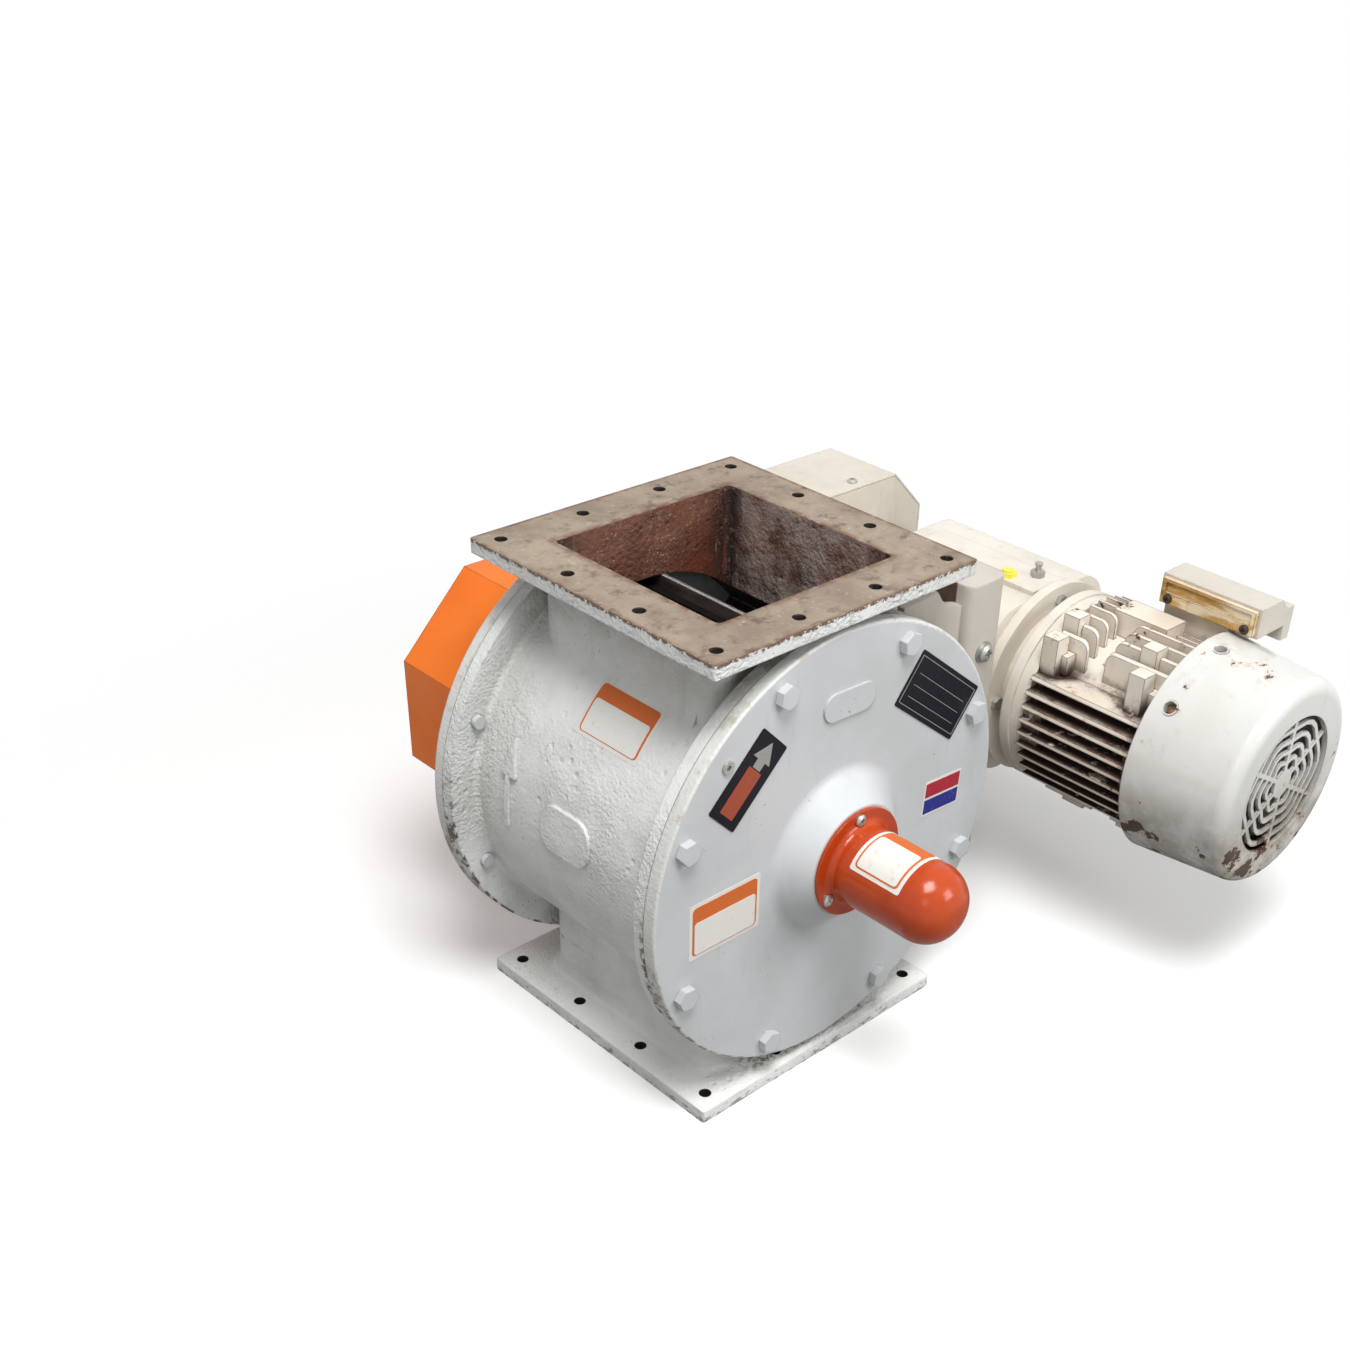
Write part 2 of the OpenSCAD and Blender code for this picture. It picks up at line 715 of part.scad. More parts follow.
// Seen along the shaft, local y is down, so the outline's y is turned over.
module sprocket(teeth, pitch_r, phase, hub_r, bore_r, mid_y) {
    translate([0, 0, mid_y]) difference() {
        union() {
            translate([0, 0, -tooth_t / 2]) linear_extrude(tooth_t) mirror([0, 1])
                sprocket_outline(teeth, pitch_r, phase);
            translate([0, 0, -sprocket_hub_len / 2]) cylinder(r = hub_r, h = sprocket_hub_len);
        }
        translate([0, 0, -sprocket_hub_len / 2 - 1])
            cylinder(r = bore_r + seat_fit, h = sprocket_hub_len + 2);
        translate([-key_w / 2 - seat_fit, -bore_r - key_h / 2 - seat_fit, -sprocket_hub_len / 2 - 1])
            cube([key_w + 2 * seat_fit, key_h, sprocket_hub_len + 2]);
        rotate([0, 90, 0]) translate([sprocket_hub_len / 2 - 8, 0, 0])
            cylinder(r = set_screw_d / 2 + seat_fit, h = hub_r + 1);
    }
}

set_screw_d = 8;
driven_hub_r = 34;
drive_hub_r = 27.5;
lighten_r = 15;
lighten_count = 6;

module driven_sprocket() color(dark_steel) on_rotor() difference() {
    sprocket(driven_teeth, driven_pitch_r, driven_phase, driven_hub_r, shaft_d / 2, chain_y);
    for (i = [0:lighten_count - 1])
        around(i * 360 / lighten_count + 30, (driven_hub_r + driven_pitch_r - seat_r) / 2)
            translate([0, 0, chain_y - tooth_t]) cylinder(r = lighten_r, h = 2 * tooth_t);
}

module drive_sprocket() color(dark_steel) on_motor()
    sprocket(drive_teeth, drive_pitch_r, drive_phase, drive_hub_r, output_d / 2, chain_y);

module shaft_key(shaft_r) color(steel)
    translate([-key_w / 2 + seat_fit, -shaft_r - key_h / 2 + seat_fit, chain_y - key_len / 2 + seat_fit])
        cube([key_w - 2 * seat_fit, key_h - 2 * seat_fit, key_len - 2 * seat_fit]);

module driven_key() on_rotor() shaft_key(shaft_d / 2);
module drive_key() on_motor() shaft_key(output_d / 2);

module set_screw(shaft_r, hub_r) color(dark_steel)
    translate([0, 0, chain_y - sprocket_hub_len / 2 + 8]) rotate([0, 90, 0])
        translate([0, 0, shaft_r]) difference() {
            cylinder(r = set_screw_d / 2, h = hub_r - shaft_r);
            translate([0, 0, hub_r - shaft_r - 4]) cylinder(r = 2.3, h = 5, $fn = 6);
        }

module driven_set_screws() on_rotor() set_screw(shaft_d / 2, driven_hub_r);
module drive_set_screws() on_motor() set_screw(output_d / 2, drive_hub_r);

link_plate_t = 2.3;
link_inner_w = 12.6;
link_half_h = 8.6;
link_waist = 5.5;
pin_r = 2.95;
bush_hole_r = 3.15;

module link_plate(z, hole_r) {
    translate([0, 0, z]) difference() {
        union() {
            for (x = [0, chain_pitch]) translate([x, 0, 0]) cylinder(r = link_half_h, h = link_plate_t);
            translate([0, -link_waist, 0]) cube([chain_pitch, 2 * link_waist, link_plate_t]);
        }
        if (hole_r > 0) for (x = [0, chain_pitch]) translate([x, 0, -1])
            cylinder(r = hole_r, h = link_plate_t + 2);
    }
}

// Two plates held apart by two rollers.
module inner_link() {
    for (s = [0, 1]) mirror([0, 0, s]) link_plate(link_inner_w / 2, bush_hole_r);
    for (x = [0, chain_pitch]) translate([x, 0, -link_inner_w / 2 - 0.1])
        ring(roller_d / 2, bush_hole_r, link_inner_w + 0.2);
}

// Two plates outside the inner links, riveted on two pins.
module outer_link() {
    out = link_inner_w / 2 + link_plate_t + 0.15;
    for (s = [0, 1]) mirror([0, 0, s]) link_plate(out, 0);
    for (x = [0, chain_pitch]) translate([x, 0, -out - link_plate_t - 1])
        cylinder(r = pin_r, h = 2 * (out + link_plate_t + 1));
}

module roller_chain() color(dark_steel) on_rotor() translate([0, 0, chain_y]) mirror([0, 1, 0])
    for (i = [0:chain_links - 1]) let (a = chain_point(i), b = chain_point(i + 1))
        translate([a[0], a[1], 0]) rotate([0, 0, atan2(b[1] - a[1], b[0] - a[0])])
            if (i % 2 == 0) inner_link(); else outer_link();

// ---- Chain guard ----

guard_left = -(driven_pitch_r + 5 + guard_gap_valve);
guard_right = centre_distance + drive_pitch_r + 5 + guard_gap_motor;
guard_half_h = driven_pitch_r + 5 + guard_gap_top;
guard_y = face_y + guard_offset;
guard_seam = centre_distance * guard_split;
guard_screw_d = 6;
guard_screw_x = [guard_left + guard_chamfer_valve + 40, guard_seam - 60, guard_seam + 62];

// The guard's outline, drawn over XZ about the rotor axis and set in by a wall's thickness.
// A wall set in by t moves each end of a 45-degree corner by t * (sqrt(2) - 1).
module guard_outline(inset) {
    shift = inset * (sqrt(2) - 1);
    h = guard_half_h - inset;
    left = guard_left + inset;
    right = guard_right - inset;
    valve_x = guard_left + guard_chamfer_valve + shift;
    motor_x = guard_right - guard_chamfer_motor - shift;
    valve_h = guard_half_h - guard_chamfer_valve - shift;
    motor_h = guard_half_h - guard_chamfer_motor - shift;
    polygon([
        [left, -valve_h], [valve_x, -h], [motor_x, -h], [right, -motor_h],
        [right, motor_h], [motor_x, h], [valve_x, h], [left, valve_h]
    ]);
}

module guard_screw_places() {
    for (x = guard_screw_x, s = [0, 1]) mirror([0, s, 0])
        translate([x, guard_half_h, guard_y + tab_depth / 2 + guard_t / 2]) rotate([-90, 0, 0]) children();
}

// The open pan of the guard's cover, between two places along X.
module guard_shell(x0, x1) {
    difference() {
        translate([0, 0, guard_y]) intersection() {
            difference() {
                linear_extrude(guard_depth) guard_outline(0);
                translate([0, 0, -1]) linear_extrude(guard_depth + 1 - guard_t) guard_outline(guard_t);
            }
            translate([x0, -guard_half_h - 1, 0]) cube([x1 - x0, 2 * guard_half_h + 2, guard_depth]);
        }
        guard_screw_places() translate([0, 0, -guard_t - 1])
            cylinder(r = guard_screw_d / 2 + bolt_hole_slack, h = guard_t + 2);
    }
}

tab_w = 22;
tab_depth = 26;
plate_inset = guard_t + 0.3;
output_window_r = 34;

module guard_cover_valve() color(guard_orange) on_rotor() guard_shell(guard_left - 1, guard_seam);
module guard_cover_motor() color(motor_cream) on_rotor() guard_shell(guard_seam + 0.5, guard_right + 1);

module standoff_places() {
    for (a = standoff_angles) around(a, standoff_pcd / 2) children();
}

// The posts beside the output shaft stand on the gearbox case.
module case_post_places() {
    for (s = [-1, 1]) translate([centre_distance, s * case_post_x, 0]) children();
}

module guard_back_plate() color(motor_cream) on_rotor() difference() {
    union() {
        translate([0, 0, guard_y]) linear_extrude(guard_t) guard_outline(plate_inset);
        for (x = guard_screw_x, s = [0, 1]) mirror([0, s, 0])
            translate([x - tab_w / 2, guard_half_h - plate_inset - guard_t, guard_y])
                cube([tab_w, guard_t, tab_depth]);
    }
    translate([0, 0, guard_y - 1]) cylinder(r = output_window_r, h = guard_t + 2);
    translate([centre_distance, 0, guard_y - 1]) cylinder(r = output_window_r, h = guard_t + 2);
    standoff_places() translate([0, 0, guard_y - 1])
        cylinder(r = standoff_screw_d / 2 + bolt_hole_slack, h = guard_t + 2);
    case_post_places() translate([0, 0, guard_y - 1])
        cylinder(r = standoff_screw_d / 2 + bolt_hole_slack, h = guard_t + 2);
    guard_screw_places() translate([0, 0, -3 * guard_t - 1])
        cylinder(r = guard_screw_d / 2 + bolt_hole_slack, h = 3 * guard_t + 2);
}

// A hexagonal post with a stud at each end and a nut on the guard's back plate.
module guard_post(length) {
    translate([0, 0, guard_y - length]) cylinder(r = standoff_d / 2 / cos(30), h = length, $fn = 6);
    translate([0, 0, guard_y - length - 9])
        cylinder(r = standoff_screw_d / 2, h = length + 9 + guard_t + 9);
    translate([0, 0, guard_y + guard_t])
        cylinder(r = standoff_screw_d * hex_ratio / 2 / cos(30), h = 6.5, $fn = 6);
}

module guard_standoffs() color(zinc) on_rotor() {
    standoff_places() guard_post(guard_offset);
    case_post_places() guard_post(guard_y - case_y1);
}

module guard_screws() color(zinc) on_rotor() guard_screw_places()
    pan_screw(guard_screw_d, 3 * guard_t + 4);

// ---- Gearmotor ----

// World directions about the gearmotor's axis: X across, Z up, and Y as it is.
module at_motor() {
    translate([centre_distance, 0, axis_z]) children();
}

// A profile drawn over XZ, extruded from y0 to y1.
module along_y(y0, y1) {
    translate([0, y1, 0]) rotate([90, 0, 0]) linear_extrude(y1 - y0) children();
}

case_y1 = 130;
case_y0 = case_y1 - case_len;
case_corner = 40;
case_post_x = 76;
output_boss_r = 55;
output_boss_len = 20;
output_bearing_od = 72;
output_bearing_w = 17;
output_seal_od = 52;
output_seal_w = 10;
output_seal_y = case_y1 + output_boss_len - output_seal_w;
output_bearing_y = output_seal_y - 3 - 2 * output_bearing_w;
column_gap = 14.5;
column_x0 = barrel_r + column_gap;
column_x1 = column_x0 + column_w;
foot_t = 14;
foot_z0 = 52;
foot_z1 = 102;
foot_bolt_d = 12;
foot_bolt_z = (foot_z0 + 12 + foot_z1) / 2;
foot_bolt_y = [-44, 66];
web_t = 12;
vent_place = [9, -34];
oil_place = [-14, -14];
vent_d = 8;

// Local +Z points along world +X, from the column's outer wall.
module foot_bolt_places() {
    for (y = foot_bolt_y, s = [-1, 1])
        translate([column_x1 - centre_distance, y, s * foot_bolt_z]) rotate([0, 90, 0]) children();
}

module case_feet() {
    x0 = column_x1 - centre_distance;
    for (s = [0, 1]) mirror([0, 0, s]) {
        translate([x0, foot_bolt_y[0] - 20, foot_z0])
            cube([foot_t, foot_bolt_y[1] - foot_bolt_y[0] + 40, foot_z1 - foot_z0]);
        translate([x0 + foot_t - 0.5, foot_bolt_y[0] - 14, foot_z0])
            cube([-x0 - case_side / 2 - foot_t + 14, foot_bolt_y[1] - foot_bolt_y[0] + 28, web_t]);
    }
}

module gearbox_case() color(motor_cream) at_motor() difference() {
    union() {
        along_y(case_y0, case_y1) rounded_square(case_side, case_side, case_corner);
        along_y(case_y1 - 1, case_y1 + output_boss_len) circle(output_boss_r);
        along_y(output_bearing_y - 4, case_y1 - 1) circle(output_boss_r - 7);
        for (s = [-1, 1]) along_y(case_y0 + 4, case_y1 - 24)
            translate([0, s * case_side / 2]) square([50, 10], center = true);
        case_feet();
    }
    difference() {
        along_y(case_y0 - 1, case_y1 - case_wall)
            rounded_square(case_side - 2 * case_wall, case_side - 2 * case_wall, case_corner - case_wall);
        along_y(output_bearing_y - 4, case_y1) circle(output_boss_r - 7);
    }
    along_y(case_y0, case_y1 + 30) circle(output_d / 2 + 1);
    along_y(output_bearing_y - 5, output_seal_y - 3) circle(output_bearing_od / 2);
    along_y(output_seal_y, case_y1 + 30) circle(output_seal_od / 2);
    foot_bolt_places() translate([0, 0, -1]) cylinder(r = foot_bolt_d / 2 + bolt_hole_slack, h = foot_t + 2);
    for (place = [vent_place, oil_place]) translate([place[0], place[1], case_side / 2 - case_wall - 2])
        cylinder(r = vent_d / 2 + seat_fit, h = case_wall + 10);
    for (s = [-1, 1]) translate([0, case_y1 - 10, s * case_post_x]) rotate([-90, 0, 0])
        cylinder(r = standoff_screw_d / 2 + seat_fit, h = 12);
    end_cover_bolt_places() translate([0, 0, -14]) cylinder(r = end_bolt_d / 2 + seat_fit, h = 15);
}

module gearbox_foot_bolts() color(zinc) at_motor() foot_bolt_places()
    translate([0, 0, foot_t]) hex_bolt(foot_bolt_d, foot_t + bracket_t + 6);

module output_seal() color(dark_steel) on_motor() translate([0, 0, output_seal_y])
    ring(output_seal_od / 2 - seat_fit, output_d / 2 + run_fit, output_seal_w - 1);

module output_bearing() color(steel) on_motor() for (i = [0, 1])
    translate([0, 0, output_bearing_y + i * output_bearing_w + 0.2])
        ring(output_bearing_od / 2 - seat_fit, output_d / 2 + run_fit, output_bearing_w - 0.4);

output_y1 = chain_y + sprocket_hub_len / 2 + 2;

module output_shaft() color(steel) on_motor() difference() {
    union() {
        translate([0, 0, output_bearing_y - 20]) cylinder(r = output_d / 2, h = output_y1 - output_bearing_y + 18.5);
        translate([0, 0, output_y1 - 1.5]) cylinder(r1 = output_d / 2, r2 = output_d / 2 - 1.5, h = 1.5);
        translate([0, 0, output_bearing_y - 20]) cylinder(r = output_d / 2 + 6, h = 18);
    }
    keyway(output_d / 2, chain_y);
}

// Local +Z points up from the pad on the case's top.
module plug_place(place) {
    translate([place[0], place[1], case_side / 2 + 5]) children();
}

module vent_plug() color(zinc) at_motor() plug_place(vent_place) {
    cylinder(r = 7.5, h = 6, $fn = 6);
    translate([0, 0, 5.9]) cylinder(r = 3, h = 6);
    translate([0, 0, 11.8]) cylinder(r = 4, h = 3);
    translate([0, 0, -12]) cylinder(r = vent_d / 2, h = 12.1);
}

module oil_plug() color([0.93, 0.86, 0.20]) at_motor() plug_place(oil_place) {
    cylinder(r = 9, h = 5, $fn = 6);
    translate([0, 0, 4.9]) cylinder(r = 6, h = 2);
    translate([0, 0, -12]) cylinder(r = vent_d / 2, h = 12.1);
}

// The hollow adapter between the gearbox case and the motor.
adapter_len = 40;
adapter_y = case_y0 - adapter_len;
adapter_r = 100;
adapter_neck_r = 78;
adapter_flange_t = 11;
end_bolt_d = 8;
end_bolt_r = (case_side - case_wall) / 2;

// Local +Z points along world -Y, from the adapter's inner flange.
module end_cover_bolt_places() {
    for (a = [0:90:270]) rotate([0, a, 0]) translate([0, case_y0, end_bolt_r]) rotate([90, 0, 0]) children();
}

module gearbox_end_cover() color(motor_cream) at_motor() difference() {
    rotate([-90, 0, 0]) translate([0, 0, adapter_y]) rotate_extrude() difference() {
        union() {
            square([adapter_r, adapter_flange_t]);
            square([adapter_neck_r, adapter_len]);
            translate([0, adapter_len - adapter_flange_t]) square([adapter_r + 2, adapter_flange_t]);
        }
        square([16, adapter_len]);
        square([adapter_neck_r - 12, adapter_len - adapter_flange_t]);
        square([shield_pilot_r, shield_pilot_depth + 0.5]);
    }
    end_cover_bolt_places() translate([0, 0, -1])
        cylinder(r = end_bolt_d / 2 + bolt_hole_slack, h = adapter_flange_t + 2);
    shield_bolt_places(adapter_y) translate([0, 0, -adapter_flange_t - 1])
        cylinder(r = shield_bolt_d / 2 + seat_fit, h = adapter_flange_t + 2);
}

module end_cover_bolts() color(zinc) at_motor() end_cover_bolt_places()
    translate([0, 0, adapter_flange_t]) hex_bolt(end_bolt_d, adapter_flange_t + 12);

// The motor: drive-end shield, finned stator frame and fan-end shield on one axis.
shield_t = 14;
shield_r = 98;
shield_pilot_r = 76;
shield_pilot_depth = 4;
stator_y1 = adapter_y - shield_t;
stator_y0 = stator_y1 - stator_len;
fan_shield_y = stator_y0 - shield_t;
stator_core_r = 80;
stator_bore_r = 68;
fin_t = 4;
fin_pitch = 14;
lug_w = 19;
lug_len = 25;
shield_bolt_d = 6;
shield_bolt_pcd_r = 88;
motor_bearing_od = 62;
motor_bearing_w = 16;

// Local +Z points along world -Y.
module shield_bolt_places(y) {
    for (a = [45:90:315]) rotate([0, a, 0]) translate([0, y, shield_bolt_pcd_r]) rotate([90, 0, 0]) children();
}

side_fin_z = [-64, -50, -36, -22, -8, 6, 20, 34, 48];
top_fin_reach = 56;
bottom_fin_reach = 42;

module fin_band() {
    difference() {
        circle(stator_d / 2);
        circle(stator_core_r - 1);
    }
}

// Level fins on the two sides of the frame.
module side_fins() {
    intersection() {
        for (z = side_fin_z) translate([0, z]) square([stator_d, fin_t], center = true);
        fin_band();
    }
}

// Upright fins on the frame's lower half, as far out as the given reach.
module upright_fins(reach) {
    intersection() {
        for (x = [-reach:fin_pitch:reach]) translate([x - fin_t / 2, 0]) square([fin_t, stator_d / 2]);
        fin_band();
    }
}

// Half section of the band that top fins fill, with its outer corner rounded at the far end.
module fin_section(length) {
    wide = stator_d / 2 - stator_core_r + 1;
    translate([stator_core_r - 1, 0]) difference() {
        square([wide, length]);
        translate([wide - fin_corner, length - fin_corner]) difference() {
            square(fin_corner + 1);
            circle(fin_corner);
        }
    }
}

// Top fins: short ones with a gap on the -X side, long stepped ones on the +X side.
module top_fins() {
    plates(-top_fin_reach, -fin_pitch) {
        translate([0, 0, stator_y1 - 4]) mirror([0, 0, 1]) rotate_extrude() fin_section(stator_y1 - 4 - gap_y[0]);
        translate([0, 0, stator_y0 + 6]) rotate_extrude() fin_section(gap_y[1] - stator_y0 - 6);
    }
    plates(0, top_fin_reach) translate([0, 0, stator_y1]) rotate_extrude() polygon([
        [stator_core_r - 1, -4], [stator_d / 2, -4], [stator_d / 2, -26], [stator_d / 2 - 10, -44],
        [stator_d / 2 - 10, 6 - stator_len], [stator_core_r - 1, 6 - stator_len]
    ]);
}

// Upright plates at the fin pitch from x0 to x1, cut to the shape of the children, which turn about +Y.
module plates(x0, x1) {
    intersection() {
        for (x = [x0:fin_pitch:x1]) translate([x - fin_t / 2, stator_y0, 0])
            cube([fin_t, stator_len, stator_d]);
        rotate([-90, 0, 0]) union() children();
    }
}

slot_y = [stator_y1 - 62, stator_y1 - 86];
gap_y = [stator_y1 - 37, stator_y1 - 59];
fin_corner = 9;
block = 18;
pad_x0 = 36;
pad_x1 = 78;
pad_drop = 3;
pad_z = cowl_d / 2 - pad_drop;

module stator_frame() color(motor_cream) at_motor() difference() {
    union() {
        along_y(stator_y0, stator_y1) circle(stator_core_r);
        along_y(stator_y0, stator_y1) side_fins();
        top_fins();
        mirror([0, 0, 1]) {
            along_y(stator_y0 + 6, slot_y[1]) upright_fins(bottom_fin_reach);
            along_y(slot_y[0], stator_y1 - 4) upright_fins(bottom_fin_reach);
        }
        for (x = [-1, 1], z = [-1, 1]) for (y = [stator_y0, stator_y1 - lug_len]) along_y(y, y + lug_len)
            translate([x, z] * shield_bolt_pcd_r * sqrt(0.5)) square(lug_w, center = true);
        for (y = [stator_y0, stator_y1 - 8]) along_y(y, y + 8) circle(stator_core_r + 10);
        for (m = [0, 1]) mirror([m, 0, 0]) for (y = [stator_y0, stator_y1 - 22])
            translate([-stator_core_r - 17, y, -22]) cube([20, 22, 38]);
        for (y = [stator_y1 - block, stator_y0 + 33]) translate([-51, y, stator_d / 2 - 50])
            cube([block, block, 50]);
        for (y = [stator_y1 - block, stator_y0 + 23]) translate([-81, y, stator_d / 2 - 63])
            cube([block, block, 49]);
        translate([-7, stator_y0 + 53, stator_core_r - 10]) cube([32, 62, 35]);
        for (y = [stator_y1 - 46, stator_y0 + 28]) translate([-34, y, -stator_d / 2 - 1]) cube([22, 26, 40]);
        translate([pad_x0, stator_y0 + 12, 60]) cube([pad_x1 - pad_x0, 74, pad_z - 60]);
    }
    along_y(stator_y0 - 1, stator_y1 + 1) circle(stator_bore_r);
    for (y = [stator_y0 - 1, stator_y1 - shield_pilot_depth])
        along_y(y, y + shield_pilot_depth + 1) circle(shield_pilot_r);
    for (y = [stator_y0 + 20, stator_y1 + 1])
        shield_bolt_places(y) cylinder(r = shield_bolt_d / 2 + seat_fit, h = 21);
    for (y = [stator_y1 - 46, stator_y0 + 28]) translate([-23, y + 13, -stator_d / 2 - 2])
        cylinder(r = 4, h = 14);
}

// An end shield with its bearing seat, facing local -Z from z = 0.
module end_shield(far_h) {
    difference() {
        union() {
            cylinder(r = shield_r, h = shield_t);
            translate([0, 0, -shield_pilot_depth]) cylinder(r = shield_pilot_r - seat_fit, h = shield_pilot_depth + 1);
            translate([0, 0, -14]) cylinder(r = motor_bearing_od / 2 + 8, h = 16);
            translate([0, 0, shield_t - 1]) cylinder(r = shield_pilot_r - seat_fit, h = 1 + far_h);
        }
        translate([0, 0, -15]) cylinder(r = motor_bearing_od / 2, h = motor_bearing_w + 2);
        translate([0, 0, -16]) cylinder(r = motor_shaft_d / 2 + 1, h = 40);
        for (a = [45:90:315]) around(a, shield_bolt_pcd_r) translate([0, 0, -1])
            cylinder(r = shield_bolt_d / 2 + bolt_hole_slack, h = shield_t + 2);
    }
}

module drive_end_shield() color(motor_cream) on_motor() translate([0, 0, stator_y1])
    end_shield(shield_pilot_depth);

module fan_end_shield() color(motor_cream) at_motor() difference() {
    translate([0, stator_y0, 0]) rotate([90, 0, 0]) end_shield(0);
    cowl_screw_places() translate([0, 0, -6.4]) cylinder(r = cowl_screw_d / 2 + seat_fit, h = 20);
}

module shield_bolts() color(zinc) at_motor() {
    shield_bolt_places(fan_shield_y) hex_bolt(shield_bolt_d, shield_t + 16);
    shield_bolt_places(adapter_y + adapter_flange_t) mirror([0, 0, 1])
        hex_bolt(shield_bolt_d, adapter_flange_t + shield_t + 16);
}

module motor_bearings() color(steel) on_motor()
    for (y = [stator_y1 - 12, stator_y0 - 2.5])
        translate([0, 0, y]) ring(motor_bearing_od / 2 - seat_fit, motor_shaft_d / 2 + run_fit, motor_bearing_w - 2);

fan_y = fan_shield_y - 30;
fan_blades = 9;

module motor_shaft() color(steel) on_motor() translate([0, 0, fan_y - 4])
    cylinder(r = motor_shaft_d / 2, h = adapter_y + 26 - fan_y);

module cooling_fan() color(dark_steel) on_motor() translate([0, 0, fan_y]) {
    ring(motor_shaft_d / 2 + 9, motor_shaft_d / 2, 22);
    translate([0, 0, 18]) ring(88, motor_shaft_d / 2 + 8, 3);
    for (i = [0:fan_blades - 1]) rotate([0, 0, i * 360 / fan_blades])
        translate([motor_shaft_d / 2 + 7, -1.5, 0]) cube([88 - motor_shaft_d / 2 - 9, 3, 19]);
}

cowl_wall = 2.5;
cowl_y1 = stator_y0 + 10;
cowl_taper = 8;
cowl_corner = 14;
cowl_screw_d = 6;
cowl_screw_y = fan_shield_y + 5;
grille_depth = 3;
grille_rib = 5;
grille_t = 3;
grille_wave = 2.6;

// Half section of the cowl, smaller all round by the given inset: radius, then depth.
module cowl_section(inset) {
    end_r = cowl_d / 2 - cowl_taper - inset;
    depth = cowl_len - inset;
    corner = cowl_corner - inset;
    polygon([[0, 0], [cowl_d / 2 - inset, 0], [end_r, depth - corner], [end_r - corner, depth], [0, depth]]);
    intersection() {
        translate([end_r - corner, depth - corner]) circle(corner);
        translate([end_r - corner, depth - corner]) square(corner);
    }
}

// Local +Z points outwards from the motor's axis.
module cowl_screw_places() {
    for (a = [-6, -48, 132, 174]) rotate([0, a, 0]) translate([0, cowl_screw_y, shield_r]) children();
}

// A ring that bows outwards at each of the grille's six gaps.
module wave_outline(r) {
    polygon([for (a = [0:10:350]) (r + grille_wave * cos(6 * a)) * [cos(a), sin(a)]]);
}

module fan_cowl() color(motor_cream) at_motor() difference() {
    union() {
        translate([0, cowl_y1, 0]) rotate([90, 0, 0]) {
            difference() {
                rotate_extrude() difference() {
                    cowl_section(0);
                    cowl_section(cowl_wall);
                }
                translate([0, 0, cowl_len - cowl_wall - 1]) cylinder(r = grille_d / 2, h = 10);
            }
            translate([0, 0, cowl_len - grille_depth - grille_t])
                ring(grille_d / 2 + cowl_wall, grille_d / 2, grille_depth + grille_t - 1);
            translate([0, 0, cowl_len - grille_depth - grille_t]) {
                linear_extrude(grille_t) {
                    circle(r = 15);
                    for (r = [25:12:grille_d / 2 - 8]) difference() {
                        wave_outline(r + grille_rib / 2);
                        wave_outline(r - grille_rib / 2);
                    }
                    for (i = [0:5]) rotate([0, 0, i * 60 + 30])
                        translate([10, -grille_rib / 2]) square([grille_d / 2 - 9.5, grille_rib]);
                }
            }
        }
        cowl_screw_places() translate([0, 0, 0.3]) cylinder(r = 8, h = cowl_d / 2 - shield_r - 1.5);
    }
    cowl_screw_places() translate([0, 0, -1]) cylinder(r = cowl_screw_d / 2 + bolt_hole_slack, h = 20);
    cowl_screw_places() translate([0, 0, 4]) cylinder(r = cowl_screw_d, h = cowl_d / 2 - shield_r + 5);
}

module cowl_screws() color(zinc) at_motor() cowl_screw_places()
    translate([0, 0, 4]) hex_bolt(cowl_screw_d, 10);

// ---- Terminal box ----

box_x0 = 34;
box_x1 = 82;
box_y0 = -275;
box_y1 = -164;
box_h = 30;
box_wall = 4;
lid_t = 5.5;
terminal_screw_d = 5;

module box_outline(inset) {
    polygon([
        [box_x0 + inset, pad_z + inset],
        [box_x1 - inset, pad_z + inset],
        [box_x1 - inset, pad_z + box_h - 12],
        [box_x1 - 12, pad_z + box_h - inset],
        [box_x0 + inset, pad_z + box_h - inset]
    ]);
}

// Local +Z points along world -X, from the lid's outer face.
module terminal_screw_places() {
    for (y = [box_y0 + 12, box_y1 - 12])
        translate([box_x0 - lid_t, y, pad_z + 8]) rotate([0, -90, 0]) children();
}

module terminal_box() color(motor_cream) at_motor() difference() {
    union() {
        along_y(box_y0, box_y1) box_outline(0);
        translate([box_x1 - 1, box_y0, pad_z - 16]) cube([13, 46, 34]);
        for (y = [box_y0, box_y1 - 14]) translate([box_x0, y, pad_z]) cube([12, 14, 14]);
    }
    difference() {
        along_y(box_y0 + box_wall, box_y1 - box_wall) box_outline(box_wall);
        for (y = [box_y0, box_y1 - 20]) translate([box_x0, y, pad_z]) cube([14, 20, 16]);
    }
    translate([box_x0 - 1, box_y0 + 20, pad_z + box_wall]) cube([box_wall + 2, box_y1 - box_y0 - 40, box_h - 2 * box_wall]);
    terminal_screw_places() translate([0, 0, -lid_t - 10]) cylinder(r = terminal_screw_d / 2 + seat_fit, h = 11);
    translate([box_x1, box_y0 + 23, pad_z + 1]) rotate([0, 90, 0]) cylinder(r = 10, h = 13);
}

module terminal_lid() color(motor_cream) at_motor() difference() {
    translate([box_x0 - lid_t, box_y0 + 3, pad_z + 2.5]) cube([lid_t, box_y1 - box_y0 - 6, box_h - 5]);
    translate([box_x0 - lid_t - 1, box_y0 + 8, pad_z + 14]) cube([2.5, box_y1 - box_y0 - 16, box_h - 20]);
    terminal_screw_places() translate([0, 0, -lid_t - 1])
        cylinder(r = terminal_screw_d / 2 + bolt_hole_slack, h = lid_t + 2);
}

module terminal_screws() color(dark_steel) at_motor() terminal_screw_places()
    pan_screw(terminal_screw_d, lid_t + 9);

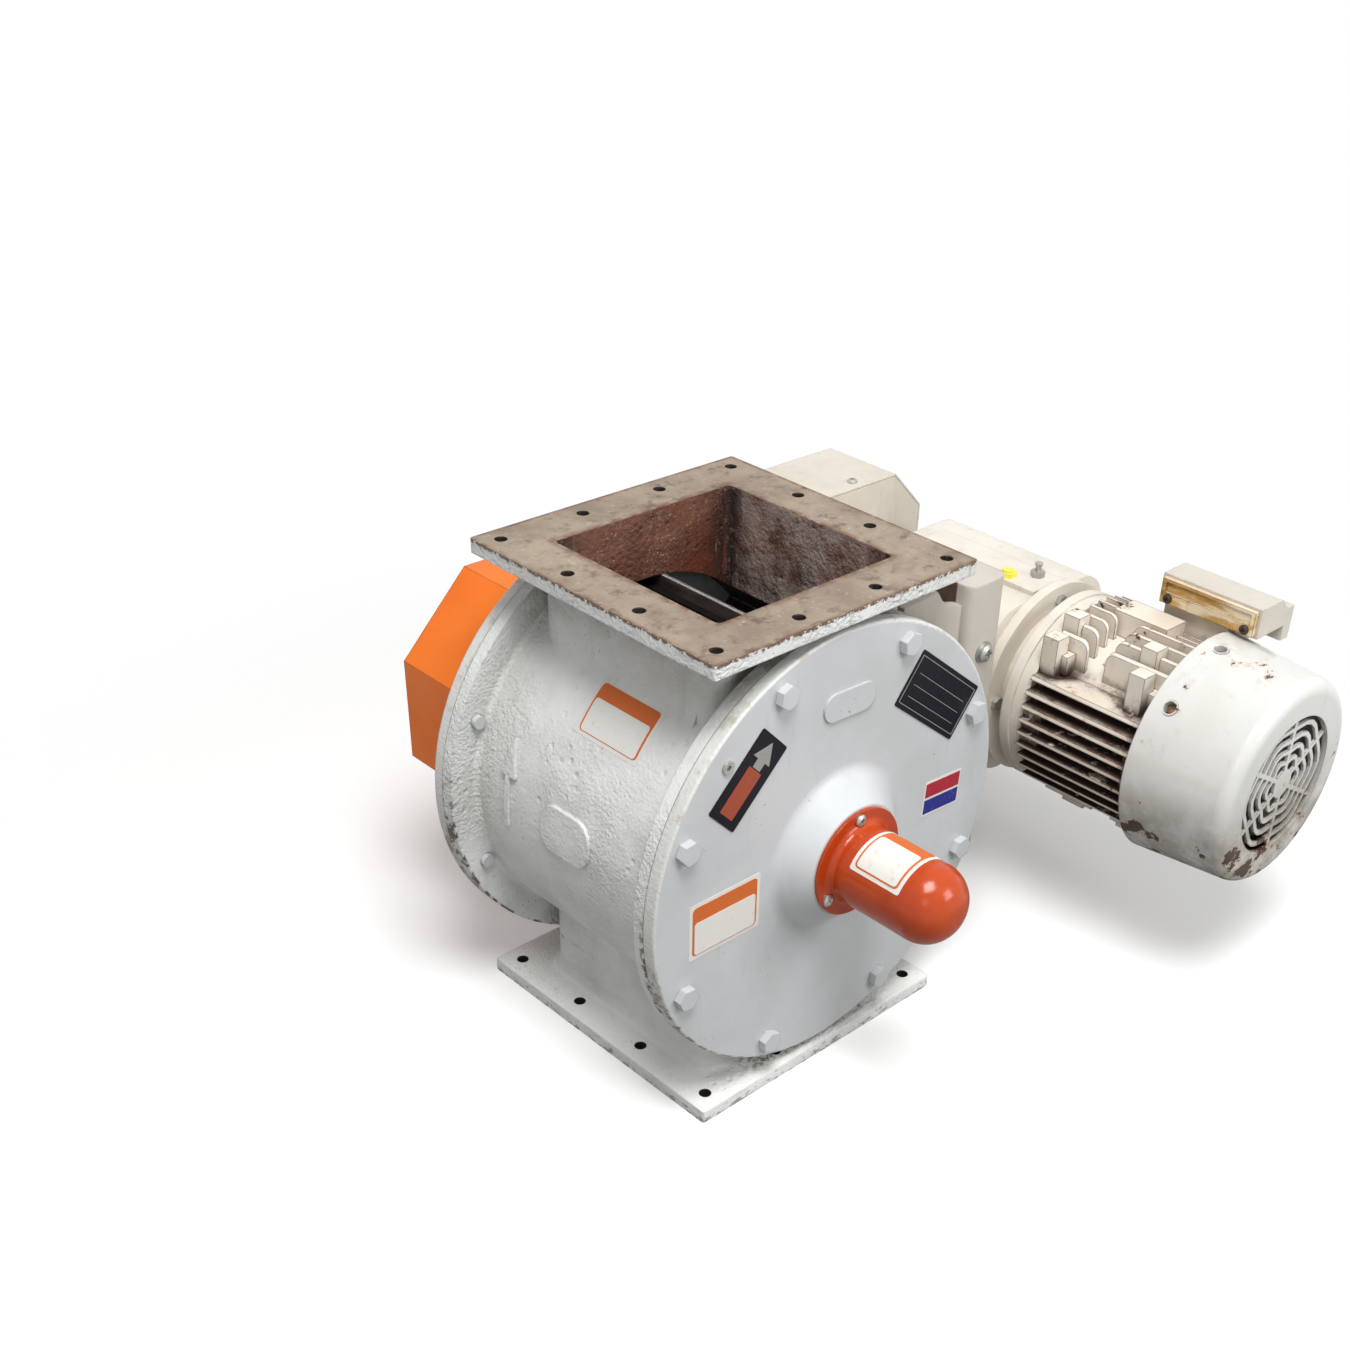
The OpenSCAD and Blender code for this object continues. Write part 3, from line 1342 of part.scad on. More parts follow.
module conduit_plug() color(dark_steel) at_motor()
    translate([box_x1 + 1, box_y0 + 23, pad_z + 1]) rotate([0, 90, 0]) {
        cylinder(r = 10 - seat_fit, h = 11);
        translate([0, 0, 11]) cylinder(r = 13, h = 5, $fn = 6);
    }

// ---- Motor bracket ----

bracket_bottom = -118.6;
bracket_corner = 12;
web_y = column_len / 2 - bracket_corner - 6;
web_top = barrel_r - 0.1;
washer_screw_z = 106;
bracket_screw_d = 9;
column_mid = column_x0 + column_w / 2;

module web_outline() {
    difference() {
        polygon([
            [neck_half + 1, web_top - 2.4], [neck_half + 11, web_top - 2],
            [column_x0 - 36, web_top], [column_x0 - 29, web_top - 10.4],
            [column_x0 - 19, web_top - 17.4], [column_x0 - 7, web_top - 20.4],
            [column_x0 + 1, web_top - 23.4], [column_x0 + 1, bracket_bottom],
            [column_x0 - 65, bracket_bottom]
        ]);
        circle(barrel_r + seat_fit);
    }
}

module motor_bracket() color(motor_cream) difference() {
    union() {
        translate([column_mid, 0, axis_z + bracket_bottom]) difference() {
            linear_extrude(column_top - bracket_bottom)
                rounded_square(column_w, column_len, bracket_corner);
            translate([0, 0, -1]) linear_extrude(column_top - bracket_bottom + 1 - bracket_t)
                rounded_square(column_w - 2 * bracket_t, column_len - 2 * bracket_t, bracket_corner - bracket_t);
        }
        translate([0, 0, axis_z]) for (s = [0, 1]) mirror([0, s, 0])
            along_y(web_y, web_y + bracket_t) web_outline();
    }
    at_motor() foot_bolt_places() translate([0, 0, -bracket_t - 1])
        cylinder(r = foot_bolt_d / 2 + bolt_hole_slack, h = bracket_t + 2);
    washer_screw_place() translate([0, 0, -bracket_t - 1])
        cylinder(r = bracket_screw_d / 2 + bolt_hole_slack, h = bracket_t + 2);
}

// Local +Z points along world -Y, from the column's end wall.
module washer_screw_place() {
    translate([column_mid, -column_len / 2, axis_z + washer_screw_z]) rotate([90, 0, 0]) children();
}

module bracket_screws() color(zinc) washer_screw_place() pan_screw(bracket_screw_d, bracket_t + 8, 21);

// ---- Plates ----

plate_t = 0.8;

name_plate_w = 104;
name_plate_h = 54;
name_plate_r = cover_r - 47.55;
name_plate_angle = 48;
name_plate_turn = -10;
arrow_plate_w = 82;
arrow_plate_h = 39;
arrow_plate_r = cover_r - 52.55;
arrow_plate_angle = -44.5;

module name_plate() color([0.10, 0.11, 0.14]) on_front() around(name_plate_angle, name_plate_r)
    translate([0, 0, face_y]) rotate([0, 0, name_plate_turn]) linear_extrude(plate_t)
        rounded_square(name_plate_w, name_plate_h, 2);

module rotation_plate() color([0.12, 0.12, 0.12]) on_front() around(arrow_plate_angle, arrow_plate_r)
    translate([0, 0, face_y]) linear_extrude(plate_t) rounded_square(arrow_plate_w, arrow_plate_h, 2);

// ---- Show the parts ----

housing();
front_cover();
drive_cover();
front_cover_bolts();
drive_cover_bolts();
cover_jack_screws();
front_bearing();
drive_bearing();
front_bearing_inner();
drive_bearing_inner();
front_seal();
drive_seal();
bearing_clips();
shaft_cap();
shaft_cap_screws();
rotor_shaft();
rotor_hub();
rotor_vanes();
rotor_tips();
tip_bolts();
driven_sprocket();
driven_key();
driven_set_screws();
roller_chain();
drive_sprocket();
drive_key();
drive_set_screws();
guard_back_plate();
guard_cover_valve();
guard_cover_motor();
guard_standoffs();
guard_screws();
motor_bracket();
bracket_screws();
gearbox_case();
gearbox_foot_bolts();
gearbox_end_cover();
end_cover_bolts();
output_seal();
output_bearing();
output_shaft();
vent_plug();
oil_plug();
stator_frame();
drive_end_shield();
fan_end_shield();
shield_bolts();
motor_shaft();
motor_bearings();
cooling_fan();
fan_cowl();
cowl_screws();
terminal_box();
terminal_lid();
terminal_screws();
conduit_plug();
name_plate();
rotation_plate();
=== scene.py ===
# Rotary airlock valve: finishes, labels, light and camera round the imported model.
# Metres throughout. The rotor's axis lies along Y at AXIS_Z; the gearmotor stands on the +X side.
import functools
import math

import bmesh
import bpy
from mathutils import Matrix, Vector


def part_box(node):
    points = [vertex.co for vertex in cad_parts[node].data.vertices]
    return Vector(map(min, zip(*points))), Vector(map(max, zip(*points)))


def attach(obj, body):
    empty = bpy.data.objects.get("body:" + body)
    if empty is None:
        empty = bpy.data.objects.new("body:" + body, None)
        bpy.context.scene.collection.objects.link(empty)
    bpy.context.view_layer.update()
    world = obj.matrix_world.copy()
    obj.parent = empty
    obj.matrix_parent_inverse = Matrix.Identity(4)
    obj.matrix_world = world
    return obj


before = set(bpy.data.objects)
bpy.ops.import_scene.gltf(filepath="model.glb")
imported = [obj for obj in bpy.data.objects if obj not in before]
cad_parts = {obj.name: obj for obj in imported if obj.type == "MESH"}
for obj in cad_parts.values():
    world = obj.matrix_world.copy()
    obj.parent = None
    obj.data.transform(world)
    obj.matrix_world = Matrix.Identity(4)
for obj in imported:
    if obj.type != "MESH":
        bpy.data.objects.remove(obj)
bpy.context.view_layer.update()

# ---- Where things are on the part ----

AXIS_Z = (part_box("housing")[0][2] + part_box("housing")[1][2]) / 2
INLET_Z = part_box("housing")[1][2]
# The front cover's face, on which the name plate lies.
COVER_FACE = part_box("name_plate")[1][1]
COVER_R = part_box("front_cover")[1][0]
# The covers' seats lie this far before and behind the middle.
SEAT_Y = 0.1365
BARREL_R = 0.1805
BORE_R = 0.1651
# Half the side of the throats' square openings, and of the square flanges.
THROAT = 0.1016
FLANGE_HALF = 0.1524
FLANGE_T = 0.0127
FLANGE_PITCH = 0.0889
# A hair more than the flange holes' radius.
HOLE_R = 0.0056
# The inlet flange's underside.
UNDER_FLANGE = INLET_Z - FLANGE_T
# The gearmotor's middle.
MOTOR_X = 0.4015
# The column's face towards the valve, and half the room between the webs, with a hair more.
COLUMN_X = 0.195
BETWEEN_WEBS = 0.1003


# ---- Drawing shader nodes ----


def srgb(red, green, blue):
    """A colour given in 0..255 steps, as the linear values that shaders take."""
    steps = [v / 255 for v in (red, green, blue)]
    return tuple(v / 12.92 if v < 0.04045 else ((v + 0.055) / 1.055) ** 2.4 for v in steps) + (1.0,)


def put(tree, kind, values=None, **settings):
    """A node with its settings, and its inputs wired or set by name or by number."""
    node = tree.nodes.new(kind)
    for key, value in settings.items():
        setattr(node, key, value)
    for key, value in (values or {}).items():
        if isinstance(value, bpy.types.NodeSocket):
            tree.links.new(value, node.inputs[key])
        else:
            node.inputs[key].default_value = value
    return node


def sums(tree, operation, first, second=0.0):
    return put(tree, "ShaderNodeMath", {0: first, 1: second}, operation=operation).outputs[0]


def times(tree, *values):
    """All the values multiplied."""
    return functools.reduce(lambda first, second: sums(tree, "MULTIPLY", first, second), values)


def most(tree, *values):
    """The largest of the values."""
    return functools.reduce(lambda first, second: sums(tree, "MAXIMUM", first, second), values)


def span(tree, value, low, high, out_low=0.0, out_high=1.0):
    """value moved from low..high to out_low..out_high, eased and clamped."""
    values = {0: value, 1: low, 2: high, 3: out_low, 4: out_high}
    return put(tree, "ShaderNodeMapRange", values, interpolation_type="SMOOTHSTEP").outputs[0]


def blend(tree, share, first, second):
    """The first colour where share is 0, and the second where it is 1."""
    return put(tree, "ShaderNodeMix", {0: share, 6: first, 7: second}, data_type="RGBA").outputs[2]


def over(tree, paint, colour, *shares):
    """The paint with a colour laid over it, as strongly as the shares multiplied."""
    return blend(tree, times(tree, *shares), paint, colour)


def noise(tree, place, scale, detail=4.0, roughness=0.6, stretch=None):
    if stretch:
        place = put(tree, "ShaderNodeMapping", {"Vector": place, "Scale": stretch}).outputs[0]
    values = {"Vector": place, "Scale": scale, "Detail": detail, "Roughness": roughness}
    return put(tree, "ShaderNodeTexNoise", values).outputs["Fac"]


def patches(tree, place, scale, low, high, detail=6.0, roughness=0.7, stretch=None):
    """Patches of noise: 1 where it is over high, falling to 0 where it is under low."""
    return span(tree, noise(tree, place, scale, detail, roughness, stretch), low, high)


def cells(tree, place, scale):
    """Distance from the nearest of many scattered points."""
    return put(tree, "ShaderNodeTexVoronoi", {"Vector": place, "Scale": scale}).outputs["Distance"]


NUMBER, COLOUR, VECTOR = "NodeSocketFloat", "NodeSocketColor", "NodeSocketVector"


def effect(name, defaults, outputs):
    """An empty node group that takes Place and the inputs in defaults.

    It gives the group, its input sockets, and a function that sets an output.
    """
    group = bpy.data.node_groups.new(name, "ShaderNodeTree")
    for label, default in {"Place": (0.0, 0.0, 0.0), **defaults}.items():
        kind = VECTOR if isinstance(default, tuple) else NUMBER
        socket = group.interface.new_socket(label, in_out="INPUT", socket_type=kind)
        socket.default_value = default
    for label, kind in outputs.items():
        group.interface.new_socket(label, in_out="OUTPUT", socket_type=kind)
    entry = group.nodes.new("NodeGroupInput")
    leaving = group.nodes.new("NodeGroupOutput")

    def give(label, socket):
        group.links.new(socket, leaving.inputs[label])

    return group, entry.outputs, give


def use(tree, group, **values):
    """The outputs of an effect placed in a material."""
    return put(tree, "ShaderNodeGroup", values, node_tree=group).outputs


# ---- Effects that several finishes share ----


def make_worn_edges():
    """Where corners have lost their finish, broken up by noise, and the corner's rounded normal."""
    tree, given, give = effect(
        "Worn Edges", {"Radius": 0.001, "Amount": 0.5}, {"Mask": NUMBER, "Normal": VECTOR}
    )
    rounded = put(tree, "ShaderNodeBevel", {"Radius": given["Radius"]}, samples=4).outputs[0]
    flat = put(tree, "ShaderNodeNewGeometry").outputs["Normal"]
    match = put(tree, "ShaderNodeVectorMath", {0: rounded, 1: flat}, operation="DOT_PRODUCT").outputs["Value"]
    corner = span(tree, match, 0.995, 0.88)
    limit = sums(tree, "SUBTRACT", 0.86, times(tree, given["Amount"], 0.5))
    broken = sums(tree, "GREATER_THAN", noise(tree, given["Place"], 140.0, 6.0, 0.7), limit)
    give("Mask", times(tree, corner, broken))
    give("Normal", rounded)
    return tree


def make_corner_shade_and_grime():
    """Painted shade and dirt in corners, from ambient occlusion broken up by noise, and dirt that runs down
    walls.
    """
    tree, given, give = effect("Corner Shade and Grime", {"Reach": 0.03, "Amount": 0.5}, {"Mask": NUMBER})
    open_air = put(tree, "ShaderNodeAmbientOcclusion", {"Distance": given["Reach"]}, samples=4).outputs["AO"]
    # Painted shade: ambient occlusion darkens the corners where shade falls.
    corner = span(tree, open_air, 0.75, 0.1)
    dirt = times(tree, corner, patches(tree, given["Place"], 34.0, 0.3, 0.65))
    runs = patches(tree, given["Place"], 60.0, 0.56, 0.8, 4.0, 0.65, (1.0, 1.0, 0.12))
    give("Mask", times(tree, most(tree, dirt, times(tree, runs, 0.35)), given["Amount"]))
    return tree


def make_chipped_paint():
    """Sharp-edged chips and the stain round each one."""
    tree, given, give = effect(
        "Chipped Paint", {"Size": 45.0, "Amount": 0.5}, {"Chip": NUMBER, "Stain": NUMBER}
    )
    place = given["Place"]
    wander = put(tree, "ShaderNodeTexNoise", {"Vector": place, "Scale": 160.0, "Detail": 3.0})
    shift = put(tree, "ShaderNodeVectorMath", {0: wander.outputs["Color"], "Scale": 0.006}, operation="SCALE")
    moved = put(tree, "ShaderNodeVectorMath", {0: place, 1: shift.outputs[0]}, operation="ADD").outputs[0]
    flakes = noise(tree, moved, given["Size"], 7.0, 0.68)
    groups = sums(tree, "SUBTRACT", noise(tree, place, 9.0, 2.0, 0.5), 0.5)
    both = sums(tree, "ADD", flakes, times(tree, groups, 0.45))
    limit = sums(tree, "SUBTRACT", 0.86, times(tree, given["Amount"], 0.34))
    give("Chip", span(tree, both, limit, sums(tree, "ADD", limit, 0.012)))
    give("Stain", span(tree, both, sums(tree, "SUBTRACT", limit, 0.07), limit))
    return tree


def make_cast_skin():
    """The height of a sand-cast surface under paint: sandy grain that comes and goes, pits and slow waves."""
    tree, given, give = effect("Cast Skin", {"Grain": 0.5, "Pits": 0.3}, {"Height": NUMBER, "Pit": NUMBER})
    place = given["Place"]
    waves = times(tree, noise(tree, place, 26.0, 3.0, 0.5), 0.8)
    sand = noise(tree, place, 330.0, 2.0, 0.5)
    lumps = times(tree, noise(tree, place, 160.0, 2.0, 0.5), 0.8)
    sandy = span(tree, noise(tree, place, 13.0, 2.0, 0.5), 0.36, 0.6, 0.35, 1.0)
    grain = times(tree, sums(tree, "ADD", sand, lumps), sandy)
    holes = span(tree, cells(tree, place, 150.0), 0.22, 0.05)
    pit = times(tree, holes, patches(tree, place, 30.0, 0.55, 0.7, 2.0, 0.5))
    high = sums(tree, "ADD", waves, times(tree, grain, given["Grain"]))
    give("Height", sums(tree, "SUBTRACT", high, times(tree, pit, given["Pits"])))
    give("Pit", pit)
    return tree


def make_rust():
    """Rust in its own colours, from orange dust to dark scale."""
    tree, given, give = effect("Rust", {"Darkness": 0.5}, {"Color": COLOUR})
    clouds = patches(tree, given["Place"], 70.0, 0.3, 0.7, 8.0, 0.72)
    fine = patches(tree, given["Place"], 380.0, 0.35, 0.7, 4.0, 0.6)
    warm = blend(tree, clouds, srgb(92, 50, 34), srgb(150, 90, 58))
    dark = blend(tree, fine, srgb(40, 28, 24), srgb(84, 58, 46))
    give("Color", blend(tree, given["Darkness"], warm, dark))
    return tree


def make_machining():
    """Fine turning or grinding marks as height, and the sheen's unevenness."""
    tree, given, give = effect(
        "Machining", {"Stretch": (1.0, 1.0, 1.0)}, {"Height": NUMBER, "Smear": NUMBER}
    )
    drawn = put(tree, "ShaderNodeVectorMath", {0: given["Place"], 1: given["Stretch"]}, operation="MULTIPLY")
    give("Height", noise(tree, drawn.outputs[0], 300.0))
    give("Smear", noise(tree, given["Place"], 40.0, 5.0))
    return tree


WORN_EDGES = make_worn_edges()
CORNER_SHADE_AND_GRIME = make_corner_shade_and_grime()
CHIPS = make_chipped_paint()
CAST_SKIN = make_cast_skin()
RUST = make_rust()
MACHINING = make_machining()


# ---- Finishes ----

GREY = srgb(224, 225, 223)
COOL_GREY = srgb(199, 202, 204)


def new_finish(name, colour, roughness):
    """A material with its Principled shader, its node tree and the object's own coordinates."""
    material = bpy.data.materials.new(name)
    material.use_nodes = True
    material.diffuse_color = colour
    tree = material.node_tree
    shader = tree.nodes["Principled BSDF"]
    shader.inputs["Base Color"].default_value = colour
    shader.inputs["Roughness"].default_value = roughness
    place = put(tree, "ShaderNodeTexCoord").outputs["Object"]
    return material, tree, shader, place


def into(tree, value, shader, label):
    tree.links.new(value, shader.inputs[label])


def raise_bump(tree, shader, height, distance, strength=1.0, normal=None):
    values = {"Height": height, "Distance": distance, "Strength": strength}
    if normal is not None:
        values["Normal"] = normal
    into(tree, put(tree, "ShaderNodeBump", values).outputs[0], shader, "Normal")


def axes(tree, place):
    """The place's x, y and z."""
    return put(tree, "ShaderNodeSeparateXYZ", {0: place}).outputs


def root(tree, across, up):
    """The length of a slope with these two sides."""
    return sums(tree, "SQRT", sums(tree, "ADD", times(tree, across, across), times(tree, up, up)))


def away(tree, place):
    """Distance from the rotor's axis."""
    parts = axes(tree, place)
    return root(tree, parts["X"], sums(tree, "SUBTRACT", parts["Z"], AXIS_Z))


def outwards(tree, place):
    """The larger of the distances from the middle along x and along y."""
    x, y = axes(tree, place)[:2]
    return most(tree, sums(tree, "ABSOLUTE", x), sums(tree, "ABSOLUTE", y))


def within(tree, value, limit, soft=0.0004):
    """1 where the value's size is under the limit."""
    return span(tree, sums(tree, "ABSOLUTE", value), limit + soft, limit - soft)


def bolt_holes(tree, place):
    """1 on the walls of the flange holes, which lie at every odd half pitch."""
    x, y, z = axes(tree, place)
    height = sums(tree, "ABSOLUTE", sums(tree, "SUBTRACT", z, AXIS_Z))
    in_flanges = span(tree, height, AXIS_Z - FLANGE_T - 0.0013, AXIS_Z - FLANGE_T)
    beyond_throat = span(tree, outwards(tree, place), THROAT + 0.0084, THROAT + 0.0104)
    sides = []
    for value in (x, y):
        steps = sums(tree, "DIVIDE", value, FLANGE_PITCH)
        middle = sums(tree, "ADD", sums(tree, "FLOOR", steps), 0.5)
        sides.append(times(tree, sums(tree, "SUBTRACT", steps, middle), FLANGE_PITCH))
    near_wall = span(tree, root(tree, *sides), HOLE_R + 0.0003, HOLE_R)
    return times(tree, near_wall, in_flanges, beyond_throat)


def faded(tree, place, colour, shade):
    """A paint's colour with its shade coming up in soft clouds."""
    return blend(tree, patches(tree, place, 12.0, 0.35, 0.7, 5.0, 0.6), colour, shade)


def body_grey(tree, place, skin, bare):
    """Grey paint: painted light on the outlet flange, painted shade and dirt in its corners, and painted
    shade on the neck under the inlet flange.
    """
    z = axes(tree, place)[2]
    paint = blend(tree, patches(tree, place, 14.0, 0.35, 0.7, 5.0, 0.6), GREY, srgb(208, 208, 204))
    # Painted light: the outlet flange, which the body above it shades, is painted paler.
    paint = over(tree, paint, srgb(240, 241, 238), span(tree, z, FLANGE_T + 0.0033, FLANGE_T + 0.0001))
    paint = over(tree, paint, srgb(96, 92, 84), skin["Pit"], 0.5)
    # Painted shade and dirt in corners, stronger towards the inlet flange, where its shadow falls.
    dirt = use(tree, CORNER_SHADE_AND_GRIME, Place=place, Reach=0.045, Amount=1.0)["Mask"]
    under = times(tree, span(tree, z, INLET_Z - 0.09, INLET_Z - 0.015), 0.8)
    paint = over(tree, paint, srgb(90, 88, 78), sums(tree, "ADD", under, 0.45), dirt)
    # Painted shade: the neck just under the inlet flange is darkened where the flange's shadow falls, broken
    # up by noise.
    neck = span(tree, z, INLET_Z - 0.085, INLET_Z - 0.02)
    below_flange = span(tree, z, UNDER_FLANGE + 0.0002, UNDER_FLANGE - 0.0013)
    uneven = span(tree, noise(tree, place, 22.0, 6.0, 0.7), 0.25, 0.7, 0.15, 0.75)
    paint = over(tree, paint, srgb(134, 128, 116), neck, below_flange, uneven)
    return over(tree, paint, srgb(112, 98, 82), bare, 0.7)


def body_wear(tree, place, paint):
    """The seams and rims of the end rings, grit and scuffs on the outlet flange, and the peeling neck."""
    x, y, z = axes(tree, place)
    reach = away(tree, place)
    rim_start = span(tree, reach, COVER_R - 0.003, COVER_R - 0.001)
    on_ring = times(tree, rim_start, span(tree, reach, COVER_R + 0.001, COVER_R + 0.0006))
    off_seat = sums(tree, "SUBTRACT", sums(tree, "ABSOLUTE", y), SEAT_Y)
    seam = within(tree, off_seat, 0.0006, 0.0004)
    paint = over(tree, paint, srgb(78, 74, 66), seam, on_ring, 0.75)
    # Both rings have lost paint on their rims, low down, and the front one only beside the cover.
    beside_cover = span(tree, y, -SEAT_Y + 0.008, -SEAT_Y + 0.003)
    ragged = times(tree, on_ring, most(tree, span(tree, y, 0.05, 0.12), beside_cover))
    low = span(tree, z, AXIS_Z + 0.05, AXIS_Z - 0.03)
    paint = over(tree, paint, srgb(98, 84, 66), ragged, low, patches(tree, place, 75.0, 0.49, 0.55))
    under_ring = within(tree, sums(tree, "ADD", y, SEAT_Y - 0.0145), 0.02, 0.006)
    grit = times(tree, within(tree, x, 0.075, 0.03), under_ring, span(tree, z, 0.04, 0.02))
    paint = over(tree, paint, srgb(62, 54, 42), grit, patches(tree, place, 150.0, 0.5, 0.56, 5.0), 0.9)
    scuffs = noise(tree, place, 90.0, 7.0, 0.72, stretch=(1.0, 1.0, 2.0))
    scuffs = sums(tree, "ADD", scuffs, span(tree, z, FLANGE_T - 0.0002, 0.0, 0.0, 0.12))
    foot_rim = span(tree, z, FLANGE_T, FLANGE_T - 0.0007)
    paint = over(tree, paint, srgb(112, 106, 96), span(tree, scuffs, 0.62, 0.68), foot_rim, 0.7)
    neck_foot = span(tree, z, INLET_Z - 0.05, INLET_Z - 0.032)
    neck_top = span(tree, z, UNDER_FLANGE - 0.0013, UNDER_FLANGE - 0.0043)
    peeled = patches(tree, place, 52.0, 0.56, 0.6, stretch=(1.0, 1.0, 0.7))
    return over(tree, paint, srgb(98, 94, 84), neck_foot, neck_top, peeled, 0.55)


def chipped_rim(tree, place, paint):
    """The inlet flange's rim, chipped along its upper edge."""
    z = axes(tree, place)[2]
    in_flange = span(tree, z, UNDER_FLANGE - 0.0008, UNDER_FLANGE + 0.0002)
    on_rim = span(tree, outwards(tree, place), FLANGE_HALF - 0.0019, FLANGE_HALF - 0.0004)
    upper = span(tree, z, INLET_Z - 0.006, INLET_Z - 0.001, 0.0, 0.2)
    knocked = sums(tree, "ADD", noise(tree, place, 170.0, 6.0, 0.7), upper)
    return over(tree, paint, srgb(106, 90, 72), in_flange, on_rim, span(tree, knocked, 0.64, 0.68))


def inlet_iron(tree, place, rust):
    """The machined inlet face: dull tan iron with rust coming up at its edges."""
    outer = outwards(tree, place)
    iron = blend(tree, patches(tree, place, 16.0, 0.3, 0.7), srgb(162, 147, 129), srgb(130, 114, 99))
    iron = over(tree, iron, srgb(104, 86, 74), patches(tree, place, 48.0, 0.5, 0.7, 7.0, 0.72))
    iron = over(tree, iron, srgb(186, 174, 156), patches(tree, place, 130.0, 0.6, 0.72, 5.0))
    border = span(tree, outer, FLANGE_HALF - 0.0054, FLANGE_HALF)
    beside_throat = span(tree, outer, THROAT + 0.009, THROAT)
    edge = most(tree, border, beside_throat)
    return over(tree, iron, rust["Color"], edge, patches(tree, place, 70.0, 0.38, 0.58), 0.85)


def throat_rust(tree, place, spots):
    """The throats' rusty walls, darker towards the corners and the rotor."""
    x, y, z = axes(tree, place)
    wall = blend(tree, span(tree, z, INLET_Z - 0.12, INLET_Z + 0.02), srgb(62, 44, 38), srgb(126, 92, 76))
    wall = over(tree, wall, srgb(124, 64, 38), patches(tree, place, 17.0, 0.46, 0.66, 7.0))
    dark = patches(tree, place, 30.0, 0.46, 0.66, 8.0, 0.72, (1, 1, 0.5))
    wall = over(tree, wall, srgb(70, 54, 50), dark)
    pale = patches(tree, place, 150.0, 0.58, 0.74, 6.0, 0.7, (1, 1, 0.4))
    wall = over(tree, wall, srgb(156, 128, 112), pale)
    wall = over(tree, wall, srgb(30, 22, 21), spots, 0.85)
    motor_side = span(tree, x, THROAT - 0.004, THROAT - 0.001)
    worn_grey = patches(tree, place, 24.0, 0.36, 0.6, 5.0)
    wall = over(tree, wall, srgb(164, 148, 142), motor_side, worn_grey, 0.85)
    drive_side = span(tree, y, THROAT - 0.004, THROAT - 0.001)
    deeper = span(tree, z, INLET_Z - 0.02, INLET_Z - 0.11, 0.45, 0.8)
    wall = over(tree, wall, srgb(98, 46, 26), drive_side, deeper)
    nearest = sums(tree, "MINIMUM", sums(tree, "ABSOLUTE", x), sums(tree, "ABSOLUTE", y))
    corner = span(tree, nearest, THROAT - 0.035, THROAT - 0.004)
    streaks = noise(tree, place, 70.0, 6.0, 0.7, stretch=(1.0, 1.0, 0.15))
    wall = over(tree, wall, srgb(48, 34, 30), corner, span(tree, streaks, 0.36, 0.5))
    wall = over(tree, wall, srgb(150, 132, 116), corner, span(tree, streaks, 0.58, 0.66))
    dust = patches(tree, place, 420.0, 0.56, 0.66, 3.0, 0.6)
    dusty = patches(tree, place, 20.0, 0.45, 0.62, 4.0, 0.6)
    return over(tree, wall, srgb(178, 142, 112), dust, dusty, 0.7)


def make_body_paint():
    """Grey paint over the cast body; its inlet face, throats and bore are bare iron."""
    material, tree, shader, place = new_finish("Body Paint", GREY, 0.4)
    x, y, z = axes(tree, place)
    skin = use(tree, CAST_SKIN, Place=place, Grain=1.0, Pits=0.04)
    edges = use(tree, WORN_EDGES, Place=place, Radius=0.0018, Amount=0.34)
    chips = use(tree, CHIPS, Place=place, Size=38.0, Amount=0.12)
    rust = use(tree, RUST, Place=place, Darkness=0.5)
    bare = most(tree, edges["Mask"], chips["Chip"])
    paint = body_wear(tree, place, body_grey(tree, place, skin, bare))
    paint = chipped_rim(tree, place, paint)
    face = span(tree, z, INLET_Z - 0.0006, INLET_Z - 0.0002)
    paint = blend(tree, face, paint, inlet_iron(tree, place, rust))
    in_throat = times(tree, within(tree, x, THROAT + 0.002), within(tree, y, THROAT + 0.002))
    inside = times(tree, in_throat, sums(tree, "SUBTRACT", 1.0, face))
    spotted = patches(tree, place, 22.0, 0.48, 0.6, 4.0, 0.6)
    spots = times(tree, span(tree, cells(tree, place, 85.0), 0.3, 0.1), spotted)
    paint = blend(tree, inside, paint, throat_rust(tree, place, spots))
    bore = span(tree, away(tree, place), BORE_R + 0.0006, BORE_R + 0.0002)
    bore_iron = blend(tree, noise(tree, place, 14.0, 5.0, 0.6), srgb(48, 42, 40), srgb(84, 76, 72))
    paint = blend(tree, bore, paint, bore_iron)
    into(tree, over(tree, paint, srgb(44, 36, 32), bolt_holes(tree, place)), shader, "Base Color")
    rough = span(tree, noise(tree, place, 55.0), 0.2, 0.8, 0.36, 0.58)
    rougher = times(tree, most(tree, face, inside, bore), 0.14)
    into(tree, sums(tree, "ADD", rough, rougher), shader, "Roughness")
    into(tree, times(tree, face, 0.3), shader, "Metallic")
    sunk = times(tree, most(tree, bare, spots), 0.5)
    calm = sums(tree, "SUBTRACT", 1.0, times(tree, face, 0.75))
    relief = times(tree, sums(tree, "SUBTRACT", skin["Height"], sunk), calm)
    raise_bump(tree, shader, relief, 0.0016, 1.0, edges["Normal"])
    return material


